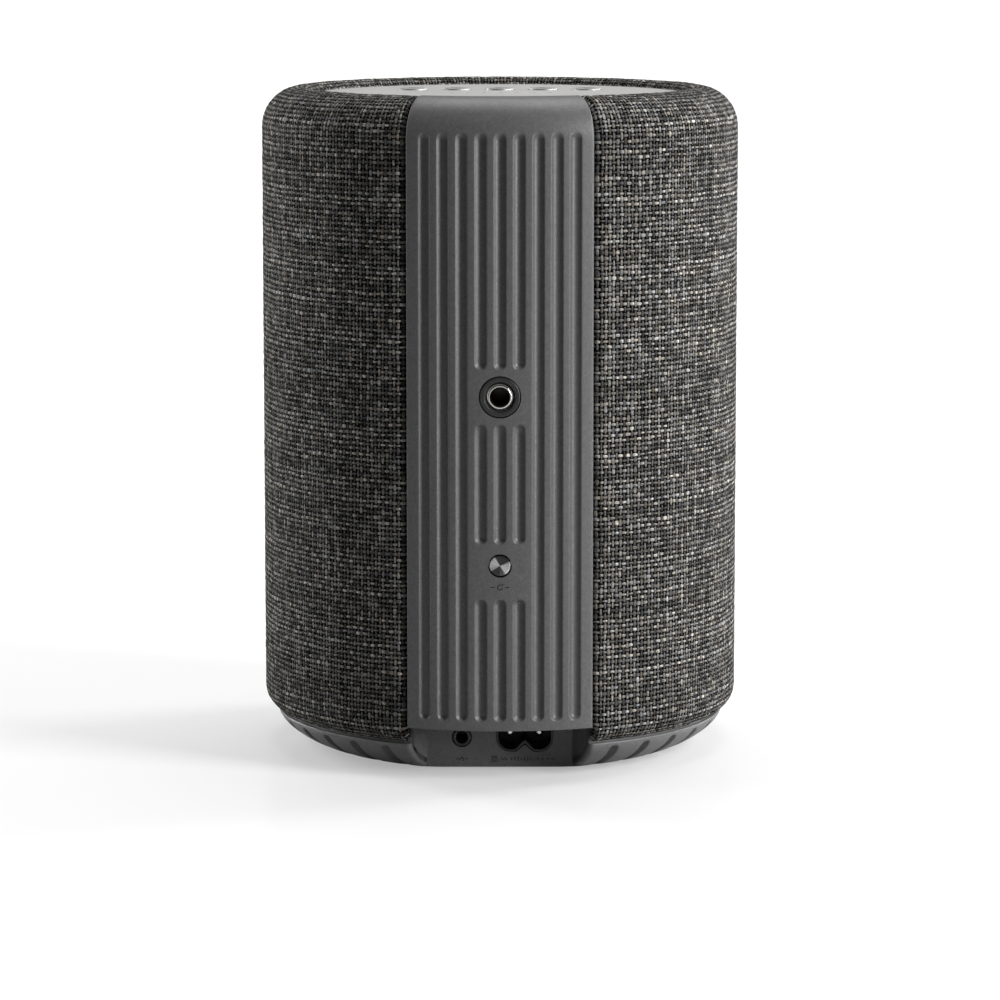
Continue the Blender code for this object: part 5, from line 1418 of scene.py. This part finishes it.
@dataclass
class ConnectorBay(Assembly):
    """The bay's flat face with its audio jack and mains inlet."""

    face: float = BaseBowl.bay_face
    half: float = 24.5 * MM
    bottom: float = BaseBowl.lift
    plate: float = 2 * MM
    clip_radius: float = 66.9 * MM
    clip_top: float = 30 * MM
    roof: Point = (15.35 * MM, 16.85 * MM)
    roof_radius: float = 66.3 * MM
    roof_half: float = 21.5
    jack: Point = (-11.15 * MM, 9.3 * MM)
    jack_radius: float = 2.65 * MM
    jack_bore: float = 1.75 * MM
    inlet: Point = (7.25 * MM, 9.4 * MM)
    inlet_size: Point = (16.7 * MM, 8.8 * MM)
    inlet_depth: float = 14 * MM
    wedge: float = 2.1 * MM
    pin_radius: float = 1.15 * MM
    pin_gap: float = 8.6 * MM
    pin_tip: float = 6.3 * MM

    def mouth(self, shrink: float) -> list[Point]:
        """The inlet's outline: square above, round below, with a wedge in the middle."""
        half = self.inlet_size[0] / 2 - shrink
        tall = self.inlet_size[1] / 2 - shrink
        top, low = 1.2 * MM - shrink, 4 * MM - shrink
        points = arc((half - top, tall - top), (top, top), 90, 0, 5)
        points += arc((half - low, low - tall), (low, low), 0, -90, 14)
        points += [(self.wedge + shrink + 0.5 * MM, -tall),
                   (self.wedge + shrink - 0.2 * MM, 0.35 * MM - tall),
                   (0.5 * MM, self.wedge + shrink - tall - 0.3 * MM)]
        points.append((0, self.wedge + shrink - tall - 0.1 * MM))
        return points + [(-x, y) for x, y in points[-2::-1]]

    def build(self) -> None:
        """Make the plate, the jack, the inlet and its pins."""
        at_jack = (self.jack[0], -self.face, self.jack[1])
        at_inlet = (self.inlet[0], -self.face, self.inlet[1])
        plate = block((-self.half, -self.face, self.bottom),
                      (self.half, -self.face + self.plate, self.roof[1]))
        rim = arc((0, 0), (self.roof_radius, self.roof_radius), -90 - self.roof_half,
                  -90 + self.roof_half, 24)
        root = self.face - self.plate / 2
        side = root * math.tan(math.radians(self.roof_half))
        roof = slab(rim + [(side, -root), (-side, -root)], *self.roof)
        plate = carve(plate, roof, operation="UNION")
        under = [(0, self.bottom), (BaseBowl.flat_radius, self.bottom)] + BaseBowl().underside(12)[::-1]
        under += [(self.clip_radius, self.clip_top), (0, self.clip_top)]
        plate = carve(plate, tidy_shape(spin_outline(under, 180)), operation="INTERSECT")
        plate = carve(
            plate,
            rod(self.jack_radius + 0.3 * MM, -5 * MM, 5 * MM, at_jack, REAR),
            slab(self.mouth(0), -5 * MM, 5 * MM, at_inlet, REAR),
        )
        self.settle("bay_plate", plate, BASE_PLASTIC, Slot.BASE, ["connector_plate"])
        self.make_jack(at_jack)
        self.make_inlet(at_inlet)

    def make_jack(self, place: Sequence[float]) -> None:
        """Turn the jack's nose with its stepped bore, and its housing behind the plate."""
        low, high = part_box("aux_jack")
        edge = 0.25 * MM
        outline = arc((self.jack_radius - edge, 0.3 * MM - edge), (edge, edge), 0, 90, 4)
        outline += arc((self.jack_bore + edge, 0.3 * MM - edge), (edge, edge), 90, 180, 4)
        outline += [(self.jack_bore, -9 * MM), (1.2 * MM, -9.3 * MM), (1.2 * MM, -11.5 * MM)]
        outline += [(0, -11.5 * MM), (0, -11.9 * MM), (self.jack_radius, -11.9 * MM)]
        shape = lathe(outline, 48, place, REAR)
        front = -self.face + self.plate + 0.3 * MM
        housing = block((low.x, front, low.z), (high.x, high.y, high.z), 0.4 * MM)
        housing = carve(housing, rod(self.jack_radius - 0.1 * MM, -12 * MM, 5 * MM, place, REAR))
        self.settle("audio_jack", add(shape, housing), BEZEL_PLASTIC, Slot.BLACK, ["aux_jack"])

    def make_inlet(self, place: Sequence[float]) -> None:
        """Carve the inlet's housing, with a lip and a rib, and turn its pins."""
        low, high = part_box("mains_inlet")
        housing = block(tuple(low), tuple(high))
        hollow = slab(self.mouth(0.3 * MM), -self.inlet_depth, self.inlet_depth, place, REAR)
        housing = carve(housing, hollow)
        lip_outer, lip_inner = self.mouth(0.12 * MM), self.mouth(0.62 * MM)
        lip = slab(lip_outer, -2.4 * MM, -0.25 * MM, place, REAR)
        lip = carve(lip, slab(lip_inner, -5 * MM, 5 * MM, place, REAR))
        rib_z = self.inlet[1] - self.inlet_size[1] / 2 + self.wedge + 0.4 * MM
        rib = block((self.inlet[0] - 0.35 * MM, -self.face + MM, rib_z - 0.5 * MM),
                    (self.inlet[0] + 0.35 * MM, -self.face + 13 * MM, rib_z + 0.9 * MM), 0.15 * MM)
        self.settle("inlet_housing", add(housing, lip, rib), BLACK_PLASTIC, Slot.BLACK, ["mains_inlet"])
        tip = self.pin_tip
        for name, side in (("left", -1), ("right", 1)):
            x = self.inlet[0] + side * self.pin_gap / 2
            outline = [(0, -tip)] + arc((0.35 * MM, -tip - 0.8 * MM), (0.8 * MM, 0.8 * MM), 90, 0, 6)
            tail = (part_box(f"inlet_pin_{name}")[1].y + self.face)
            outline += [(self.pin_radius, -tail), (0, -tail)]
            pin = lathe(outline, 24, (x, -self.face, self.inlet[1]), REAR)
            self.settle(f"inlet_pin_{name}_fine", pin, CHROME, Slot.BRIGHT, [f"inlet_pin_{name}"])


@dataclass
class PrintedMarks(Assembly):
    """Plain printed symbols in place of words, lying on the plastic."""

    thickness: float = 0.03 * MM
    line: float = 0.3 * MM
    reset_height: float = 57.5 * MM
    bay_height: float = 2.9 * MM
    power_start: float = -1.6 * MM

    def ring_mark(self, radius: float, start: float, end: float) -> bmesh.types.BMesh:
        """Part of a ring, in the printing plane.

        Args:
            radius: Its outer radius.
            start: Angle where it starts, in degrees.
            end: Angle where it ends, in degrees.

        Returns:
            The mark about the plane's origin.
        """
        wide = (radius, radius)
        slim = (radius - self.line, radius - self.line)
        steps = 20
        return slab(arc((0, 0), wide, start, end, steps) + arc((0, 0), slim, end, start, steps),
                    0, self.thickness)

    def bar_mark(self, x: float, y: float, width: float, height: float) -> bmesh.types.BMesh:
        """A bar about a point of the printing plane.

        Args:
            x: The point's place across the plane.
            y: Its place up the plane.
            width: The bar's width.
            height: The bar's height.

        Returns:
            The mark.
        """
        return slab([(x - width / 2, y - height / 2), (x + width / 2, y - height / 2),
                     (x + width / 2, y + height / 2), (x - width / 2, y + height / 2)],
                    0, self.thickness)

    def build(self) -> None:
        """Print the marks below the reset button and in the bay."""
        line = self.line
        restart = self.ring_mark(0.85 * MM, 60, 360)
        add(restart, slab([(0.35 * MM, 0.95 * MM), (1.05 * MM, 0.95 * MM), (0.7 * MM, 0.3 * MM)],
                          0, self.thickness))
        for side in (-1, 1):
            add(restart, self.bar_mark(side * 2.05 * MM, 0, 1.3 * MM, line))
        stand(restart, (0, 0, self.reset_height), REAR)
        for vert in restart.verts:
            lift = vert.co.y
            vert.co.y = -math.sqrt((SHELL.radius - lift)**2 - vert.co.x**2)
        self.settle("reset_mark", restart, PRINT_INK, Slot.BLACK)
        sound = self.ring_mark(0.55 * MM, 0, 180)
        for side in (-1, 1):
            add(sound, self.bar_mark(side * 0.5 * MM, -0.28 * MM, 0.3 * MM, 0.5 * MM))
            add(sound, self.bar_mark(side * 1.3 * MM, 0, 0.7 * MM, line))
        stand(sound, (ConnectorBay.jack[0], -ConnectorBay.face, self.bay_height), REAR)
        self.settle("audio_mark", sound, PRINT_INK, Slot.BLACK)
        power = bmesh.new()
        for size in (1.5 * MM, 0.8 * MM):
            half = size / 2
            for sign in (-1, 1):
                add(power, self.bar_mark(0, sign * half, size + line * 0.6, line * 0.6))
                add(power, self.bar_mark(sign * half, 0, line * 0.6, size))
        wave = [(x * 0.1 * MM, 0.28 * MM * math.sin(x / 10 * math.tau)) for x in range(21)]
        under = [(x, y - line) for x, y in reversed(wave)]
        strip = slab(wave + under, 0, self.thickness)
        bmesh.ops.translate(strip, verts=strip.verts, vec=(1.7 * MM, line / 2, 0))
        add(power, strip)
        for index in range(7):
            tall = (1.2 if index % 3 else 0.7) * MM
            add(power, self.bar_mark((5.0 + index * 0.95) * MM, 0, line, tall))
        for index in range(4):
            add(power, self.bar_mark((12.6 + index * 1.5) * MM, 0, 0.8 * MM, line))
        stand(power, (self.power_start, -ConnectorBay.face, self.bay_height), REAR)
        self.settle("power_mark", power, PRINT_INK, Slot.BLACK)


# ---- Top ----

@dataclass
class TopPlate(Assembly):
    """The recessed plate, its five keys and the row of status lights."""

    radius: float = 55.3 * MM
    rear_radius: float = 53.1 * MM
    low: float = RearSpine.underside
    high: float = 194.8 * MM
    cut: Point = (190 * MM, 197 * MM)
    key_radius: float = 4.25 * MM
    key_pitch: float = 13.15 * MM
    key_row: float = 21 * MM
    key_rise: float = 0.5 * MM
    key_gap: float = 0.3 * MM
    key_dish: float = 0.12 * MM
    flange: float = 5.35 * MM
    flange_top: float = 192.5 * MM
    flange_low: float = 191.7 * MM
    stem: float = 1.5 * MM
    stem_low: float = 190.6 * MM
    light_row: float = 3.4 * MM
    light_pitch: float = 5 * MM
    lights: int = 7
    keys: int = 5

    def build(self) -> None:
        """Turn the plate, cut its holes, and make the keys and lights."""
        edge = 0.25 * MM
        outline = [(0, self.low), (self.radius, self.low)]
        outline += arc((self.radius - edge, self.high - edge), (edge, edge), 0, 90, 3)
        outline += [(self.radius * share, self.high) for share in (0.9, 0.6, 0.3)] + [(0, self.high)]
        shape = tidy_shape(spin_outline(outline, 360))
        reach = SHELL.spine_half + 0.8
        for vert in shape.verts:
            if abs(rear_angle(vert.co)) < reach and vert.co.xy.length > self.rear_radius:
                vert.co.xy = vert.co.xy.normalized() * (vert.co.xy.length - self.radius + self.rear_radius)
        holes = bmesh.new()
        for x in self.row(self.keys, self.key_pitch):
            add(holes, rod(self.key_radius + self.key_gap, *self.cut, (x, self.key_row, 0), UP, 64))
        for x in self.row(self.lights, self.light_pitch):
            add(holes, rod(0.8 * MM, *self.cut, (x, self.light_row, 0), UP, 24))
        self.settle("top_disc", carve(shape, holes), PLATE_LACQUER, Slot.PLATE, ["top_plate"])
        for index, x in enumerate(self.row(self.keys, self.key_pitch), start=1):
            self.make_key(index, x)
        guide = block(*(tuple(corner) for corner in self.guide_box()), 0.2 * MM)
        for x in self.row(self.lights, self.light_pitch):
            outline = [(0, 191.5 * MM), (0.5 * MM, 191.5 * MM), (0.5 * MM, 194.6 * MM),
                       (0.42 * MM, 194.7 * MM), (0, 194.7 * MM)]
            add(guide, stand(tidy_shape(spin_outline(outline, 20)), (x, self.light_row, 0)))
        self.settle("status_lights", guide, LIGHT_PLASTIC, Slot.LIGHT, ["light_guide"])

    def guide_box(self) -> tuple[Vector, Vector]:
        """The light guide's bar under the plate."""
        low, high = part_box("light_guide")
        high.z = self.low - 0.3 * MM
        return low, high

    def row(self, count: int, pitch: float) -> list[float]:
        """Places along X of a centred row."""
        return [(index - (count - 1) / 2) * pitch for index in range(count)]

    def make_key(self, index: int, x: float) -> None:
        """Turn one key, with its flange and stem under the plate.

        Args:
            index: The key's number, from the left as seen from the rear.
            x: Its place along the row.
        """
        face = self.high + self.key_rise
        edge = 0.28 * MM
        radius = self.key_radius
        outline = [(0, face - self.key_dish)]
        outline += [(radius * share, face - self.key_dish * (1 - share**2))
                    for share in (0.12, 0.4, 0.7, 0.85)]
        outline += arc((radius - edge, face - edge), (edge, edge), 90, 0, 4)
        outline += [(radius, self.flange_top), (self.flange, self.flange_top)]
        outline += [(self.flange, self.flange_low), (self.stem, self.flange_low)]
        outline += [(self.stem, self.stem_low), (0, self.stem_low)]
        shape = lathe(outline, 64, (x, self.key_row, 0))
        name = f"top_button_{index}"
        self.settle(f"top_key_{index}", shape, SPUN_METAL, Slot.SPUN, [name], name)

    def carried(self) -> dict[str, Finish]:
        """The key switches and their board."""
        found = {f"key_switch_{index}": BLACK_PLASTIC for index in range(1, self.keys + 1)}
        return {**found, "button_board": CIRCUIT_BOARD}


# ---- Inside ----

@dataclass
class Inside(Assembly):
    """The cabinet, drivers and electronics, which stay as the CAD has them."""

    sides: tuple[str, ...] = ("left", "right")
    screws: int = 4

    def carried(self) -> dict[str, Finish]:
        """Every inner node with its finish."""
        found: dict[str, Finish] = {
            "cabinet_body": CABINET_PLASTIC, "cabinet_lid": CABINET_PLASTIC, "cabinet_gasket": RUBBER,
            "woofer_basket": ZINC_STEEL, "woofer_yoke": ZINC_STEEL, "woofer_magnet": FERRITE,
            "woofer_spider": SPIDER_CLOTH, "woofer_surround": RUBBER, "woofer_cone": PULP,
            "tweeter_plate": BLACK_PLASTIC, "tweeter_dome": DOME_SILK, "tweeter_magnet": FERRITE,
            "power_board": CIRCUIT_BOARD, "amplifier_board": CIRCUIT_BOARD,
            "transformer": CORE_STEEL, "filter_capacitor": BLACK_PLASTIC, "heat_sink": ALUMINIUM,
            "wireless_module": ZINC_STEEL,
        }
        for side in self.sides:
            found[f"radiator_{side}_frame"] = BLACK_PLASTIC
            found[f"radiator_{side}_surround"] = RUBBER
            found[f"radiator_{side}_cone"] = PULP
        for index in range(1, self.screws + 1):
            found[f"woofer_screw_{index}"] = ZINC_STEEL
        return found


# ---- Studio ----

@dataclass(frozen=True)
class Lamp:
    """A soft rectangular lamp that faces the speaker."""

    name: str
    place: tuple[float, float, float]
    width: float
    power: float
    height: float = 1.0

    def hang(self) -> None:
        """Put the lamp in the scene."""
        data = bpy.data.lights.new(self.name, "AREA")
        data.shape = "RECTANGLE"
        data.size, data.size_y = self.width, self.height
        data.energy = self.power
        lamp = bpy.data.objects.new(self.name, data)
        lamp.location = self.place
        target = Vector((0, 0, SHELL.height / 2))
        lamp.rotation_euler = (target - Vector(self.place)).to_track_quat("-Z", "Y").to_euler()
        bpy.context.scene.collection.objects.link(lamp)


@dataclass
class Studio:
    """The floor, the soft lights and the camera."""

    lamps: tuple[Lamp, ...] = (
        Lamp("key", (1.24, -0.66, 0.6), 0.45, 27.5),
        Lamp("right_edge", (1.0, 0.5, 0.45), 0.3, 11.0),
        Lamp("left_edge", (-1.0, 0.75, 0.4), 0.3, 12.0),
        Lamp("left_side", (-1.35, 0.1, 0.45), 0.4, 6.5),
        Lamp("overhead", (0.1, 0.5, 1.5), 1.2, 12.0),
    )
    eye: tuple[float, float, float] = (0.0, -1.2361, 0.2582)
    aim: tuple[float, float, float] = (0.0, 0.0, 0.0955)
    lens: float = 148.9
    shift: float = -0.0768
    glow: Point = (0.37, 0.95)
    floor_size: float = 6.0
    floor_grey: float = 0.7
    bounced_grey: float = 0.28
    ambient: Point = (0.06, 0.25)

    def build(self) -> None:
        """Lay the floor, set the lights and place the camera."""
        self.lay_floor()
        self.light_sky()
        for lamp in self.lamps:
            lamp.hang()
        view = bpy.data.cameras.new("view")
        view.lens = self.lens
        view.sensor_width = 36.0
        view.shift_y = self.shift
        camera = bpy.data.objects.new("view", view)
        camera.location = self.eye
        camera.rotation_euler = (Vector(self.aim) - Vector(self.eye)).to_track_quat("-Z", "Y").to_euler()
        bpy.context.scene.collection.objects.link(camera)
        bpy.context.scene.camera = camera
        bpy.context.scene.view_settings.view_transform = "Standard"

    def lay_floor(self) -> None:
        """A pale floor with a soft, faint reflection."""
        shape = bmesh.new()
        bmesh.ops.create_grid(shape, x_segments=2, y_segments=2, size=self.floor_size)
        floor = as_object("studio_floor", shape)
        made = bpy.data.materials.new("pale_floor")
        made.use_nodes = True
        graph = Graph(made.node_tree)
        shader = made.node_tree.nodes["Principled BSDF"]
        place = graph.node("ShaderNodeTexCoord").outputs["Object"]
        cloud = graph.span(graph.noise(place, 3.0, 2.0), 0.3, 0.7, 0.2, 0.26)
        graph.feed(shader.inputs["Roughness"], cloud)
        bounced = graph.node("ShaderNodeLightPath").outputs["Is Diffuse Ray"]
        direct, indirect = ((grey, grey, grey, 1) for grey in (self.floor_grey, self.bounced_grey))
        graph.feed(shader.inputs["Base Color"], graph.mix(bounced, direct, indirect))
        shader.inputs["Specular IOR Level"].default_value = 0.5
        shader.inputs["Emission Color"].default_value = (1, 1, 1, 1)
        seen = graph.node("ShaderNodeLightPath").outputs["Is Camera Ray"]
        away = graph.node("ShaderNodeVectorMath", {"Vector": place}, operation="LENGTH").outputs["Value"]
        glow = graph.span(away, 0.3, 1.5, *self.glow)
        graph.feed(shader.inputs["Emission Strength"], graph.math("MULTIPLY", seen, glow))
        floor.data.materials.append(made)

    def light_sky(self) -> None:
        """White behind everything, and softer than white as a light."""
        sky = bpy.data.worlds.new("studio_white")
        bpy.context.scene.world = sky
        sky.use_nodes = True
        graph = Graph(sky.node_tree)
        back = sky.node_tree.nodes["Background"]
        rays = graph.node("ShaderNodeLightPath").outputs
        ambient = graph.span(rays["Is Glossy Ray"], 0, 1, *self.ambient)
        graph.feed(back.inputs["Strength"], graph.math("ADD", ambient, rays["Is Camera Ray"]))
        back.inputs["Color"].default_value = (1, 1, 1, 1)


def main() -> None:
    """Build and dress every assembly, then the studio."""
    logging.basicConfig(level=logging.INFO, format="%(message)s")
    for assembly in (ClothCover(), RearSpine(), WallInsert(), ResetKey(), BaseBowl(),
                     BottomFittings(), ConnectorBay(), PrintedMarks(), TopPlate(), Inside()):
        assembly.build()
        assembly.dress()
    Studio().build()


if __name__ == "__main__":
    main()
